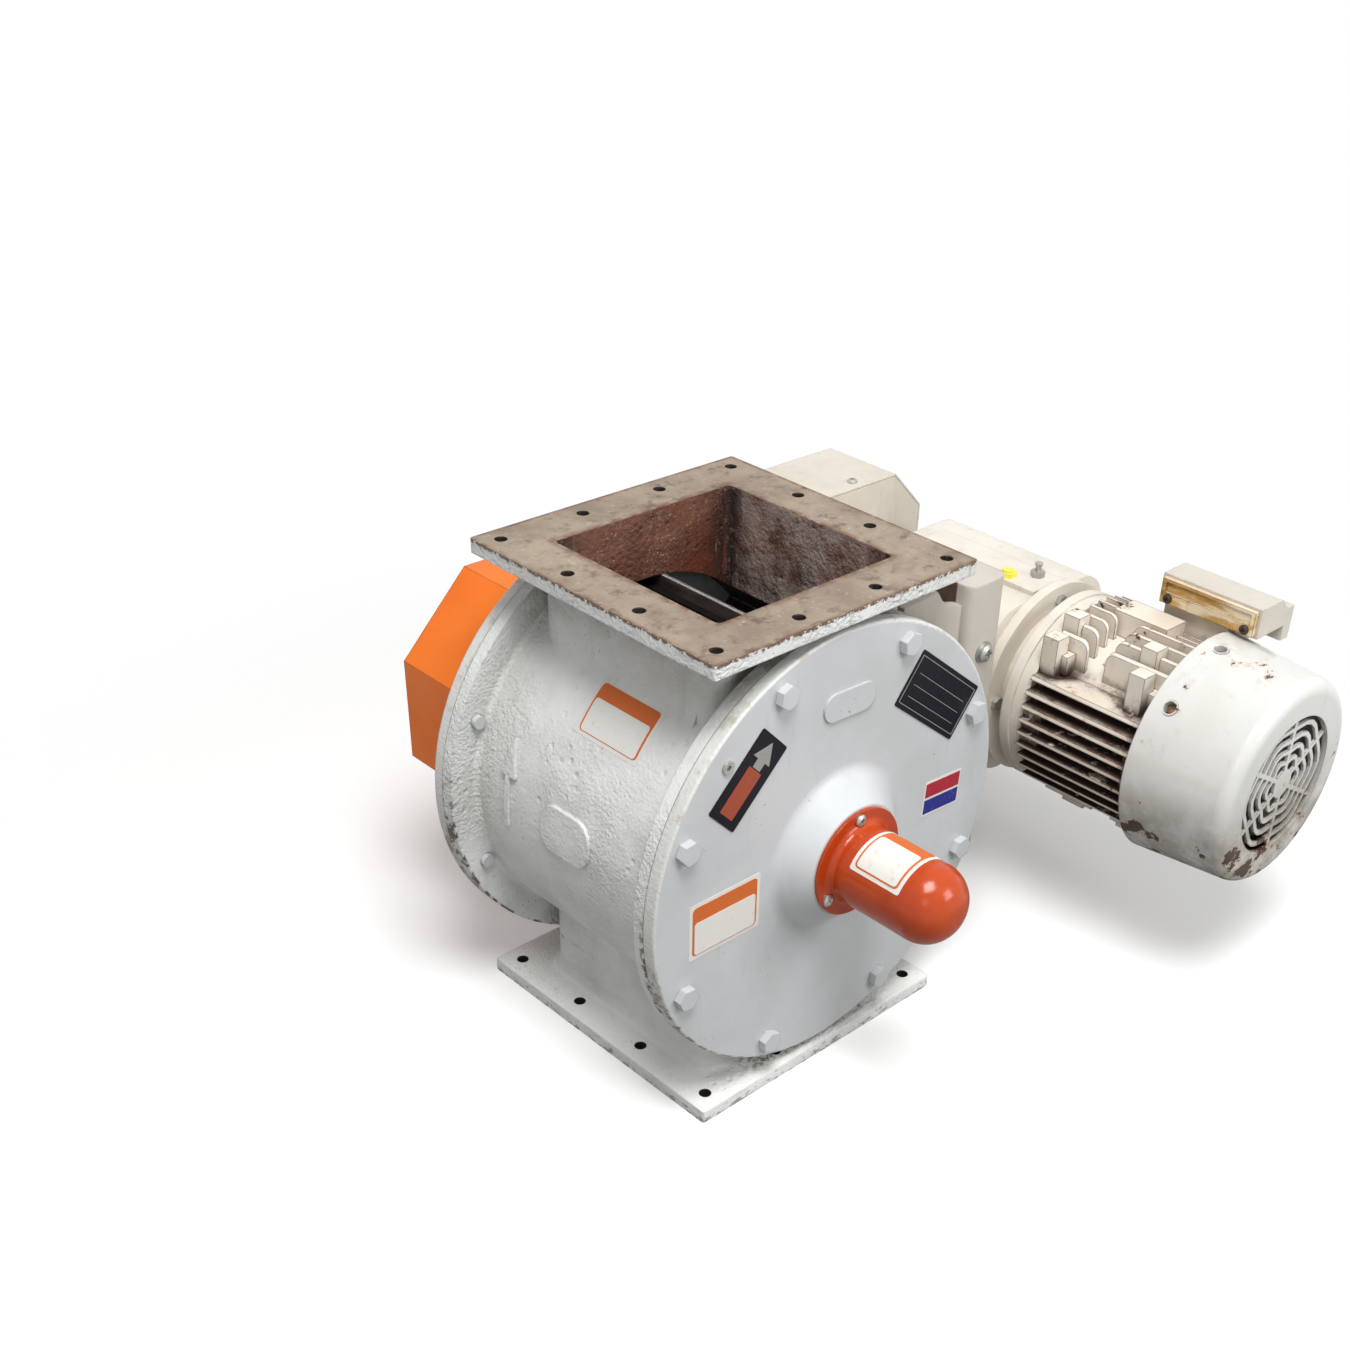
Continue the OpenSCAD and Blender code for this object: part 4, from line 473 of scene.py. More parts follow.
def make_cover_paint():
    """Cooler grey paint, smoother than the body's, on the covers and their bolts."""
    material, tree, shader, place = new_finish("Cover Paint", COOL_GREY, 0.36)
    skin = use(tree, CAST_SKIN, Place=place, Grain=0.16, Pits=0.5)
    edges = use(tree, WORN_EDGES, Place=place, Radius=0.0014, Amount=0.16)
    # The grime mask is painted shade and dirt in the cover's corners.
    dirt = use(tree, CORNER_SHADE_AND_GRIME, Place=place, Reach=0.02, Amount=0.6)["Mask"]
    paint = blend(tree, patches(tree, place, 9.0, 0.35, 0.7, 4.0, 0.6), COOL_GREY, srgb(190, 193, 194))
    paint = over(tree, paint, srgb(112, 108, 100), dirt, 0.7)
    paint = over(tree, paint, srgb(128, 126, 122), skin["Pit"], 0.4)
    dots = span(tree, cells(tree, place, 60.0), 0.075, 0.05)
    dotted = patches(tree, place, 24.0, 0.58, 0.62, 4.0, 0.6)
    paint = over(tree, paint, srgb(110, 100, 88), dots, dotted, 0.7)
    paint = over(tree, paint, srgb(124, 112, 98), edges["Mask"], 0.6)
    # The rims have the body's sandy grey, stained, with paint lost low down.
    rim = span(tree, away(tree, place), COVER_R - 0.003, COVER_R - 0.001)
    paint = blend(tree, rim, paint, srgb(212, 212, 208))
    paint = over(tree, paint, srgb(164, 152, 128), rim, patches(tree, place, 34.0, 0.54, 0.64), 0.5)
    low = span(tree, axes(tree, place)[2], AXIS_Z, AXIS_Z - 0.08)
    lost = patches(tree, place, 75.0, 0.5, 0.56)
    paint = over(tree, paint, srgb(104, 92, 74), rim, low, lost, 0.85)
    into(tree, paint, shader, "Base Color")
    into(tree, span(tree, noise(tree, place, 30.0), 0.2, 0.8, 0.3, 0.46), shader, "Roughness")
    sand = times(tree, rim, noise(tree, place, 330.0, 2.0, 0.5))
    raise_bump(tree, shader, sums(tree, "ADD", skin["Height"], sand), 0.0012, 0.6, edges["Normal"])
    return material


def make_guard_paint():
    """Orange paint on folded sheet, dulled and darker along its folds and edges."""
    colour = srgb(242, 122, 36)
    material, tree, shader, place = new_finish("Guard Orange", colour, 0.4)
    shader.inputs["Specular IOR Level"].default_value = 0.25
    edges = use(tree, WORN_EDGES, Place=place, Radius=0.003, Amount=0.1)
    folds = use(tree, WORN_EDGES, Place=place, Radius=0.0022, Amount=1.6)["Mask"]
    # The grime mask is painted shade and dirt in the guard's corners.
    dirt = use(tree, CORNER_SHADE_AND_GRIME, Place=place, Reach=0.02, Amount=0.5)["Mask"]
    paint = blend(tree, patches(tree, place, 10.0, 0.3, 0.75, 4.0, 0.55), colour, srgb(234, 110, 30))
    paint = over(tree, paint, srgb(120, 74, 44), dirt, 0.5)
    paint = over(tree, paint, srgb(132, 60, 28), folds)
    paint = over(tree, paint, srgb(96, 70, 54), edges["Mask"])
    scuffs = patches(tree, place, 70.0, 0.66, 0.76, 7.0, 0.7, (1.0, 0.3, 1.0))
    paint = over(tree, paint, srgb(196, 100, 48), scuffs, 0.5)
    into(tree, paint, shader, "Base Color")
    into(tree, span(tree, noise(tree, place, 38.0), 0.2, 0.8, 0.34, 0.5), shader, "Roughness")
    raise_bump(tree, shader, noise(tree, place, 240.0, 3.0, 0.5), 0.0003, 0.3, edges["Normal"])
    return material


def make_cap_paint():
    """Glossy orange enamel over the spun cap, with small runs and nicks."""
    colour = srgb(186, 70, 20)
    material, tree, shader, place = new_finish("Cap Orange", colour, 0.16)
    shader.inputs["Specular IOR Level"].default_value = 0.3
    shader.inputs["Coat Weight"].default_value = 0.15
    edges = use(tree, WORN_EDGES, Place=place, Radius=0.0012, Amount=0.3)
    chips = use(tree, CHIPS, Place=place, Size=70.0, Amount=0.1)
    # The grime mask is painted shade and dirt in the cap's corners.
    dirt = use(tree, CORNER_SHADE_AND_GRIME, Place=place, Reach=0.012, Amount=0.8)["Mask"]
    paint = blend(tree, patches(tree, place, 16.0, 0.35, 0.7, 4.0, 0.55), colour, srgb(174, 60, 16))
    paint = over(tree, paint, srgb(96, 44, 24), dirt, 0.5)
    paint = over(tree, paint, srgb(140, 70, 40), most(tree, edges["Mask"], chips["Chip"]), 0.8)
    into(tree, paint, shader, "Base Color")
    into(tree, span(tree, noise(tree, place, 60.0), 0.3, 0.8, 0.12, 0.28), shader, "Roughness")
    ripples = times(tree, noise(tree, place, 240.0, 2.0, 0.5), 0.3)
    runs = sums(tree, "ADD", noise(tree, place, 60.0, 3.0, 0.5), ripples)
    raise_bump(tree, shader, runs, 0.0008, 0.35, edges["Normal"])
    return material


def cream_relief(tree, place, flaked, grain):
    """Height of brushed paint with its flakes gone."""
    brushed = times(tree, noise(tree, place, 150.0, 3.0, 0.5), grain)
    return sums(tree, "ADD", brushed, times(tree, flaked, -0.8))


def flake_cream(tree, shader, place, paint, chips, wear, darkness, roughness):
    """The colour of old cream paint, stained, with painted shade and dirt in its corners, that has worn and
    chipped to rust.
    """
    edges = use(tree, WORN_EDGES, Place=place, Radius=0.0014, Amount=wear)
    # The grime mask is painted shade and dirt in the corners.
    dirt = use(tree, CORNER_SHADE_AND_GRIME, Place=place, Reach=0.018, Amount=0.9)["Mask"]
    rust = use(tree, RUST, Place=place, Darkness=darkness)
    paint = over(tree, paint, srgb(198, 166, 136), chips["Stain"], 0.4)
    paint = over(tree, paint, srgb(128, 104, 80), dirt, 0.75)
    flaked = most(tree, chips["Chip"], times(tree, edges["Mask"], 0.85))
    into(tree, span(tree, flaked, 0.0, 1.0, roughness, 0.82), shader, "Roughness")
    raise_bump(tree, shader, cream_relief(tree, place, flaked, 0.25), 0.0007, 0.6, edges["Normal"])
    return blend(tree, flaked, paint, rust["Color"])


def make_cream(name, colour, shade, chip_amount, wear):
    """Old cream paint over iron or sheet."""
    roughness = 0.36
    material, tree, shader, place = new_finish(name, colour, roughness)
    chips = use(tree, CHIPS, Place=place, Size=36.0, Amount=chip_amount)
    paint = faded(tree, place, colour, shade)
    paint = flake_cream(tree, shader, place, paint, chips, wear, 0.55, roughness)
    into(tree, paint, shader, "Base Color")
    return material


def make_cowl_paint():
    """Glossy white on the cowl, darker low down with painted shade and smoky stain, where it has chipped to
    dark rust.
    """
    colour = srgb(216, 216, 212)
    roughness = 0.14
    material, tree, shader, place = new_finish("Cowl White Paint", colour, roughness)
    shader.inputs["Coat Weight"].default_value = 0.3
    z = axes(tree, place)[2]
    chip_amount = span(tree, z, AXIS_Z + 0.02, AXIS_Z - 0.06, 0.42, 0.97)
    chips = use(tree, CHIPS, Place=place, Size=36.0, Amount=chip_amount)
    paint = faded(tree, place, colour, srgb(208, 207, 201))
    # Painted shade with smoky stain: the cowl's underside, which the light leaves, is darkened in patches.
    low = span(tree, z, AXIS_Z + 0.03, AXIS_Z - 0.06)
    paint = over(tree, paint, srgb(128, 120, 104), low, patches(tree, place, 20.0, 0.3, 0.62), 0.8)
    paint = flake_cream(tree, shader, place, paint, chips, 0.9, 0.8, roughness)
    into(tree, over(tree, paint, srgb(54, 34, 28), chips["Chip"], 0.6), shader, "Base Color")
    return material


def make_finned_cream():
    """Cream on the motor frame; oil and rust have turned the gaps between its side fins black-brown."""
    colour = srgb(230, 223, 212)
    material, tree, shader, place = new_finish("Stained Cream Paint", colour, 0.4)
    parts = axes(tree, place)
    edges = use(tree, WORN_EDGES, Place=place, Radius=0.0018, Amount=1.1)
    chips = use(tree, CHIPS, Place=place, Size=46.0, Amount=0.62)
    # The grime mask is painted shade and dirt in the frame's corners.
    dirt = use(tree, CORNER_SHADE_AND_GRIME, Place=place, Reach=0.016, Amount=0.8)["Mask"]
    rust = use(tree, RUST, Place=place, Darkness=0.85)
    paint = faded(tree, place, colour, srgb(224, 211, 194))
    paint = over(tree, paint, srgb(196, 160, 128), chips["Stain"], 0.5)
    paint = over(tree, paint, srgb(140, 116, 92), dirt, 0.55)
    open_air = put(tree, "ShaderNodeAmbientOcclusion", {"Distance": 0.022}, samples=6).outputs["AO"]
    torn = sums(tree, "SUBTRACT", noise(tree, place, 85.0, 7.0, 0.72), 0.5)
    ragged_air = sums(tree, "ADD", open_air, times(tree, torn, 0.7))
    pocket = span(tree, ragged_air, 0.86, 0.72)
    fin_side = span(tree, parts["X"], MOTOR_X - 0.05, MOTOR_X - 0.064)
    below_top = span(tree, parts["Z"], AXIS_Z + 0.074, AXIS_Z + 0.052)
    soaked = patches(tree, place, 30.0, 0.36, 0.44, 5.0, 0.65)
    soak = times(tree, fin_side, below_top, pocket, soaked)
    flaked = most(tree, chips["Chip"], edges["Mask"], soak)
    paint = blend(tree, flaked, paint, rust["Color"])
    into(tree, over(tree, paint, srgb(42, 28, 23), soak, 0.6), shader, "Base Color")
    into(tree, span(tree, flaked, 0.0, 1.0, 0.38, 0.8), shader, "Roughness")
    raise_bump(tree, shader, cream_relief(tree, place, flaked, 0.3), 0.0008, 0.7, edges["Normal"])
    return material


def make_stained_lid():
    """The terminal box lid: cream gone golden with oil, with painted shade and dirt in its corners and
    painted light on its top.
    """
    colour = srgb(232, 216, 184)
    material, tree, shader, place = new_finish("Oil-Stained Lid", colour, 0.34)
    edges = use(tree, WORN_EDGES, Place=place, Radius=0.0016, Amount=0.9)
    rust = use(tree, RUST, Place=place, Darkness=0.5)
    # The grime mask is painted shade and dirt in the lid's corners.
    dirt = use(tree, CORNER_SHADE_AND_GRIME, Place=place, Reach=0.01, Amount=1.0)["Mask"]
    oil = noise(tree, place, 40.0, 6.0, 0.65, stretch=(1.0, 0.35, 1.6))
    paint = over(tree, colour, srgb(198, 156, 88), span(tree, oil, 0.42, 0.56))
    paint = over(tree, paint, srgb(136, 96, 50), span(tree, oil, 0.55, 0.66))
    paint = over(tree, paint, srgb(72, 48, 30), dirt, 0.9)
    paint = blend(tree, edges["Mask"], paint, rust["Color"])
    # Painted light: faces that look up are painted paler.
    facing = put(tree, "ShaderNodeNewGeometry").outputs["Normal"]
    top = span(tree, axes(tree, facing)[2], 0.7, 0.9)
    into(tree, over(tree, paint, srgb(226, 214, 190), top, 0.7), shader, "Base Color")
    into(tree, span(tree, oil, 0.3, 0.7, 0.26, 0.5), shader, "Roughness")
    raise_bump(tree, shader, sums(tree, "ADD", oil, edges["Mask"]), 0.0004, 0.5, edges["Normal"])
    return material


def make_bracket_paint():
    """Greyish cream on the fabricated bracket, dark brown between its webs with painted shade, old dust and
    rust.
    """
    colour = srgb(194, 188, 179)
    material, tree, shader, place = new_finish("Bracket Cream", colour, 0.38)
    x, y = axes(tree, place)[:2]
    edges = use(tree, WORN_EDGES, Place=place, Radius=0.004, Amount=0.3)
    chips = use(tree, CHIPS, Place=place, Size=44.0, Amount=0.16)
    # The grime mask is painted shade and dirt in the bracket's corners.
    dirt = use(tree, CORNER_SHADE_AND_GRIME, Place=place, Reach=0.03, Amount=0.9)["Mask"]
    rust = use(tree, RUST, Place=place, Darkness=0.35)
    paint = faded(tree, place, colour, srgb(182, 175, 164))
    paint = over(tree, paint, srgb(120, 104, 84), dirt, 0.8)
    # Painted shade with old dust and rust: the column's face between the webs is painted dark brown.
    between_webs = within(tree, y, BETWEEN_WEBS, 0.0002)
    before_column = span(tree, x, COLUMN_X + 0.001, COLUMN_X)
    dust = blend(tree, noise(tree, place, 60.0, 6.0, 0.7), srgb(70, 52, 40), srgb(120, 98, 78))
    paint = over(tree, paint, dust, between_webs, before_column)
    flaked = most(tree, chips["Chip"], times(tree, edges["Mask"], 0.8))
    into(tree, blend(tree, flaked, paint, rust["Color"]), shader, "Base Color")
    into(tree, span(tree, noise(tree, place, 40.0), 0.2, 0.8, 0.32, 0.5), shader, "Roughness")
    brushed = times(tree, noise(tree, place, 120.0, 3.0, 0.5), 0.3)
    relief = sums(tree, "SUBTRACT", brushed, times(tree, flaked, 0.6))
    raise_bump(tree, shader, relief, 0.0006, 0.5, edges["Normal"])
    return material


def make_metal(
    name, colour, shade, roughness, rust_amount, stretch=(1.0, 1.0, 1.0), metallic=0.9, sheen=0.5
):
    """Bare or plated metal with marks, smears and some rust."""
    material, tree, shader, place = new_finish(name, colour, roughness)
    shader.inputs["Specular IOR Level"].default_value = sheen
    marks = use(tree, MACHINING, Place=place, Stretch=stretch)
    edges = use(tree, WORN_EDGES, Place=place, Radius=0.0006, Amount=0.6)
    rust = use(tree, RUST, Place=place, Darkness=0.6)
    chips = use(tree, CHIPS, Place=place, Size=90.0, Amount=rust_amount)
    metal = blend(tree, span(tree, marks["Smear"], 0.3, 0.7), colour, shade)
    into(tree, over(tree, metal, rust["Color"], chips["Stain"], 0.8), shader, "Base Color")
    into(tree, span(tree, chips["Stain"], 0.0, 1.0, metallic, 0.1), shader, "Metallic")
    smeared = span(tree, marks["Smear"], 0.25, 0.75, roughness, roughness + 0.2)
    into(tree, smeared, shader, "Roughness")
    raise_bump(tree, shader, marks["Height"], 0.0002, 0.3, edges["Normal"])
    return material


def make_tip_steel():
    """Tip bars stained dark between edges that the bore keeps bright."""
    material, tree, shader, place = new_finish("Tip Bar Steel", srgb(96, 84, 76), 0.35)
    marks = use(tree, MACHINING, Place=place, Stretch=(1.0, 0.02, 1.0))
    edges = use(tree, WORN_EDGES, Place=place, Radius=0.003, Amount=1.6)
    stains = patches(tree, place, 60.0, 0.42, 0.62, 6.0, 0.7, (1.0, 0.2, 1.0))
    metal = blend(tree, stains, srgb(70, 62, 57), srgb(34, 27, 24))
    into(tree, over(tree, metal, srgb(226, 224, 220), edges["Mask"]), shader, "Base Color")
    into(tree, span(tree, edges["Mask"], 0.0, 1.0, 0.5, 0.22), shader, "Roughness")
    raise_bump(tree, shader, marks["Height"], 0.0002, 0.3, edges["Normal"])
    return material


def make_moulded(name, colour, roughness, dust):
    """Rubber or plastic with a faint moulded grain and dust."""
    material, tree, shader, place = new_finish(name, colour, roughness)
    dirt = noise(tree, place, 45.0, 5.0, 0.65)
    dusty = span(tree, dirt, 0.5, 0.8, 0.0, dust)
    into(tree, blend(tree, dusty, colour, srgb(150, 138, 120)), shader, "Base Color")
    into(tree, span(tree, dirt, 0.2, 0.8, roughness - 0.08, roughness + 0.12), shader, "Roughness")
    raise_bump(tree, shader, noise(tree, place, 600.0, 2.0, 0.5), 0.0001, 0.4)
    return material


def make_label_stock(name, colour, scuff):
    """Printed film: even colour with scuffs and a soft sheen."""
    material, tree, shader, place = new_finish(name, colour, 0.4)
    shader.inputs["Specular IOR Level"].default_value = 0.2
    wear = noise(tree, place, 120.0, 6.0, 0.7)
    into(tree, blend(tree, span(tree, wear, 0.56, 0.72, 0.0, 0.6), colour, scuff), shader, "Base Color")
    into(tree, span(tree, wear, 0.3, 0.7, 0.34, 0.55), shader, "Roughness")
    raise_bump(tree, shader, noise(tree, place, 500.0, 2.0, 0.5), 0.0001, 0.2)
    return material


body_paint = make_body_paint()
cover_paint = make_cover_paint()
guard_paint = make_guard_paint()
cap_paint = make_cap_paint()
bracket_cream = make_bracket_paint()
smooth_cream = make_cream("Cream Sheet Paint", srgb(220, 212, 199), srgb(208, 199, 184), 0.12, 0.3)
gearbox_cream = make_cream("Gearbox Cream Paint", srgb(228, 222, 211), srgb(217, 209, 196), 0.3, 0.5)
# A darker copy of the gearbox's cream for the terminal box: painted shade, as the lamps light the box more.
box_cream = make_cream("Shaded Box Cream Paint", srgb(208, 202, 191), srgb(200, 192, 180), 0.2, 0.5)
cowl_white = make_cowl_paint()
finned_cream = make_finned_cream()
stained_lid = make_stained_lid()
zinc = make_metal("Zinc Plate", srgb(196, 196, 192), srgb(168, 168, 164), 0.32, 0.15)
old_brass = make_metal("Stained Screw", srgb(150, 124, 84), srgb(84, 60, 40), 0.4, 0.8, metallic=0.5)
steel = make_metal("Machined Steel", srgb(178, 178, 176), srgb(150, 149, 146), 0.28, 0.2, (1.0, 0.05, 1.0))
vane_steel = make_metal(
    "Vane Steel", srgb(26, 23, 22), srgb(12, 10, 10), 0.55, 0.2, (1.0, 0.1, 1.0), 0.0, 0.1
)
tip_steel = make_tip_steel()
chain_steel = make_metal("Oiled Chain Steel", srgb(92, 84, 78), srgb(54, 48, 44), 0.35, 0.35)
seal_rubber = make_moulded("Seal Rubber", srgb(34, 34, 35), 0.7, 0.3)
fan_plastic = make_moulded("Fan Plastic", srgb(26, 26, 27), 0.5, 0.5)
plug_plastic = make_moulded("Yellow Plug", srgb(232, 222, 84), 0.35, 0.3)
plate_black = make_label_stock("Black Plate", srgb(10, 12, 22), srgb(40, 42, 52))
label_white = make_label_stock("White Label", srgb(222, 220, 214), srgb(190, 182, 168))
label_orange = make_label_stock("Orange Label", srgb(206, 104, 48), srgb(176, 128, 96))
label_rust = make_label_stock("Dull Red Label", srgb(158, 76, 54), srgb(110, 60, 48))
label_grey = make_label_stock("Grey Label", srgb(150, 150, 148), srgb(96, 94, 92))
label_red = make_label_stock("Red Label", srgb(168, 40, 56), srgb(206, 150, 156))
label_blue = make_label_stock("Blue Label", srgb(40, 44, 128), srgb(140, 142, 190))

FINISHES = {
    body_paint: ["housing"],
    cover_paint: ["front_cover", "drive_cover", "front_cover_bolts", "drive_cover_bolts"],
    guard_paint: ["guard_cover_valve"],
    cap_paint: ["shaft_cap"],
    smooth_cream: ["guard_cover_motor", "guard_back_plate"],
    bracket_cream: ["motor_bracket"],
    gearbox_cream: ["gearbox_case", "gearbox_end_cover", "drive_end_shield"],
    box_cream: ["terminal_box"],
    cowl_white: ["fan_cowl", "fan_end_shield"],
    finned_cream: ["stator_frame"],
    stained_lid: ["terminal_lid"],
    zinc: [
        "cover_jack_screws", "shaft_cap_screws", "tip_bolts", "guard_standoffs", "guard_screws",
        "bracket_screws", "gearbox_foot_bolts", "end_cover_bolts", "vent_plug", "shield_bolts",
    ],
    steel: [
        "front_bearing", "drive_bearing", "front_bearing_inner", "drive_bearing_inner", "bearing_clips",
        "rotor_shaft", "driven_key", "drive_key", "output_bearing", "output_shaft", "motor_shaft",
        "motor_bearings",
    ],
    old_brass: ["cowl_screws"],
    vane_steel: ["rotor_hub", "rotor_vanes"],
    tip_steel: ["rotor_tips"],
    chain_steel: [
        "driven_sprocket", "driven_set_screws", "roller_chain", "drive_sprocket", "drive_set_screws",
        "conduit_plug", "terminal_screws",
    ],
    seal_rubber: ["front_seal", "drive_seal", "output_seal"],
    fan_plastic: ["cooling_fan"],
    plug_plastic: ["oil_plug"],
    plate_black: ["name_plate", "rotation_plate"],
}

for finish, names in FINISHES.items():
    for name in names:
        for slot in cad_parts[name].material_slots:
            slot.material = finish


# ---- Labels ----

# How thick a film is, and how far the metal plates stand off the cover's face.
FILM = 0.0003
PLATE = 0.0008
# A film's outline has a point at least this often, so that it can follow a round wall.
FILM_STEP = 0.006


def finish_piece(name, mesh, finish):
    """The mesh as an object with its finish, riding on the valve's body."""
    bmesh.ops.recalc_face_normals(mesh, faces=mesh.faces)
    data = bpy.data.meshes.new(name)
    mesh.to_mesh(data)
    mesh.free()
    data.materials.append(finish)
    piece = bpy.data.objects.new(name, data)
    bpy.context.collection.objects.link(piece)
    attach(piece, "valve_body")


def add_film(mesh, surface, outline, steps=10):
    """The film's face as rings that shrink to its middle, so that it follows a curve, and its thin rim."""
    fine = []
    for (u0, v0), (u1, v1) in zip(outline, outline[1:] + outline[:1]):
        parts = max(1, math.ceil(math.hypot(u1 - u0, v1 - v0) / FILM_STEP))
        fine += [(u0 + (u1 - u0) * k / parts, v0 + (v1 - v0) * k / parts) for k in range(parts)]
    mid_u = sum(u for u, v in fine) / len(fine)
    mid_v = sum(v for u, v in fine) / len(fine)
    rows = []
    for k in range(1, steps + 1):
        share = k / steps
        points = [(mid_u + (u - mid_u) * share, mid_v + (v - mid_v) * share) for u, v in fine]
        rows.append([mesh.verts.new(surface(u, v, FILM)) for u, v in points])
    middle = mesh.verts.new(surface(mid_u, mid_v, FILM))
    foot = [mesh.verts.new(surface(u, v, 0.0)) for u, v in fine]
    for i in range(len(fine)):
        j = (i + 1) % len(fine)
        mesh.faces.new((middle, rows[0][i], rows[0][j]))
        for inner, outer in zip(rows, rows[1:]):
            mesh.faces.new((inner[i], outer[i], outer[j], inner[j]))
        mesh.faces.new((rows[-1][i], foot[i], foot[j], rows[-1][j]))


def lay_film(name, surface, width, height, corner, finish, steps=10):
    """A film with rounded corners on surface(across, up, lift), which gives a point."""
    outline = []
    for sx, sy, start in ((1, 1, 0), (-1, 1, 90), (-1, -1, 180), (1, -1, 270)):
        for i in range(5):
            angle = math.radians(start + 22.5 * i)
            across = sx * (width / 2 - corner) + corner * math.cos(angle)
            up = sy * (height / 2 - corner) + corner * math.sin(angle)
            outline.append((across, up))
    mesh = bmesh.new()
    add_film(mesh, surface, outline, steps)
    finish_piece(name, mesh, finish)


def polar(angle, radius):
    """x and z of a place on a cover: the angle runs clockwise from the top, as seen from the front."""
    return radius * math.sin(math.radians(angle)), AXIS_Z + radius * math.cos(math.radians(angle))


def on_cover(x, z, turn, base=0.0):
    """The front cover's face round one place, turned clockwise as seen from the front."""
    angle = math.radians(turn)

    def surface(across, up, lift):
        return Vector((
            x + across * math.cos(angle) + up * math.sin(angle),
            COVER_FACE - base - lift,
            z - across * math.sin(angle) + up * math.cos(angle),
        ))

    return surface


def on_round(angle, y, radius, base=0.0):
    """A round wall about the rotor's axis: across runs towards -Y, and up runs round it."""

    def surface(across, up, lift):
        turn = math.radians(angle) + up / radius
        reach = radius + base + lift
        return Vector((reach * math.sin(turn), y - across, AXIS_Z + reach * math.cos(turn)))

    return surface


def shifted(surface, across, up):
    return lambda u, v, lift: surface(u + across, v + up, lift)


def lay_notice(name, place, width, height):
    """A blank notice: white film, an orange panel on it, and a white panel low on that."""
    lay_film(name + "_film", place(0.0), width, height, 0.002, label_white)
    lay_film(name + "_panel", place(FILM), width - 0.007, height - 0.007, 0.004, label_orange)
    lower = shifted(place(2 * FILM), 0.0, -0.13 * height)
    lay_film(name + "_inset", lower, width - 0.011, 0.58 * height, 0.003, label_white)


lay_notice("barrel_notice", lambda base: on_round(-48.3, -0.0203, BARREL_R, base), 0.0795, 0.0523)
lay_notice("cover_notice", lambda base: on_cover(-0.131, 0.2165, 0.0, base), 0.080, 0.055)
lay_notice("cap_notice", lambda base: on_round(-13.0, -0.2235, 0.0365, base), 0.055, 0.0624)

# The small sticker is white with a red strip above a blue one.
sticker_place = {"x": 0.142, "z": 0.2285, "turn": 3.4}
lay_film("small_sticker", on_cover(**sticker_place), 0.050, 0.036, 0.0006, label_white)
strip_place = on_cover(**sticker_place, base=FILM)
lay_film("small_sticker_top", shifted(strip_place, 0.0, 0.0085), 0.047, 0.0145, 0.0004, label_red)
lay_film("small_sticker_foot", shifted(strip_place, 0.0, -0.0085), 0.047, 0.0145, 0.0004, label_blue)

# The rotation plate carries a block at its near end and an arrow that points along it.
ARROW_TURN = -44.5
ARROW = [
    (0.011, -0.0055), (0.019, -0.0055), (0.019, -0.0125), (0.036, 0.0),
    (0.019, 0.0125), (0.019, 0.0055), (0.011, 0.0055),
]
rotation_plate = on_cover(*polar(ARROW_TURN, 0.157), ARROW_TURN, PLATE)
lay_film("turn_block", shifted(rotation_plate, -0.012, 0.0), 0.044, 0.019, 0.001, label_rust)
arrow_mesh = bmesh.new()
add_film(arrow_mesh, rotation_plate, ARROW)
finish_piece("turn_arrow", arrow_mesh, label_grey)

# The name plate has a border and three rules: the middle of each line on the plate, its width and height.
PLATE_LINES = {
    "top": (0.0, 0.0225, 0.098, 0.0006),
    "foot": (0.0, -0.0225, 0.098, 0.0006),
    "near": (-0.049, 0.0, 0.0006, 0.0456),
    "far": (0.049, 0.0, 0.0006, 0.0456),
    "rule_1": (0.0, 0.008, 0.082, 0.0005),
    "rule_2": (0.0, -0.003, 0.082, 0.0005),
    "rule_3": (0.0, -0.014, 0.082, 0.0005),
}
name_plate = on_cover(*polar(48.0, 0.162), 38.0, PLATE)
for side, (across, up, width, height) in PLATE_LINES.items():
    line_place = shifted(name_plate, across, up)
    lay_film(f"name_plate_line_{side}", line_place, width, height, 0.0002, label_grey, 2)


# ---- Floor, light and camera ----

# The floor is made of rings round a place under the part's middle, and fades out between two radii.
FLOOR_X = 0.14
FLOOR_RINGS = (0.4, 0.8, 1.6, 3.2)
FLOOR_POINTS = 72
FADE_START, FADE_END = 0.5, 1.1
FLOOR_LIFT = 0.16
WORLD_LEVEL = 0.36
WHITE = (1.0, 1.0, 1.0, 1.0)


def make_floor_finish():
    """Pale and a little lifted for the camera, a plain grey for other rays, and clear far out."""
    material, tree, shader, place = new_finish("Pale Floor", srgb(240, 240, 239), 0.9)
    seen = put(tree, "ShaderNodeLightPath").outputs["Is Camera Ray"]
    pale = blend(tree, noise(tree, place, 3.0), srgb(240, 240, 239), srgb(244, 244, 243))
    into(tree, blend(tree, seen, srgb(150, 150, 149), pale), shader, "Base Color")
    lift = put(tree, "ShaderNodeEmission", {"Strength": times(tree, seen, FLOOR_LIFT)}).outputs[0]
    both = put(tree, "ShaderNodeAddShader", {0: shader.outputs[0], 1: lift}).outputs[0]
    x, y = axes(tree, place)[:2]
    reach = root(tree, sums(tree, "SUBTRACT", x, FLOOR_X), y)
    fade = span(tree, reach, FADE_START, FADE_END)
    clear = put(tree, "ShaderNodeBsdfTransparent").outputs[0]
    mixed = put(tree, "ShaderNodeMixShader", {0: fade, 1: both, 2: clear}).outputs[0]
    tree.links.new(mixed, tree.nodes["Material Output"].inputs["Surface"])
    return material


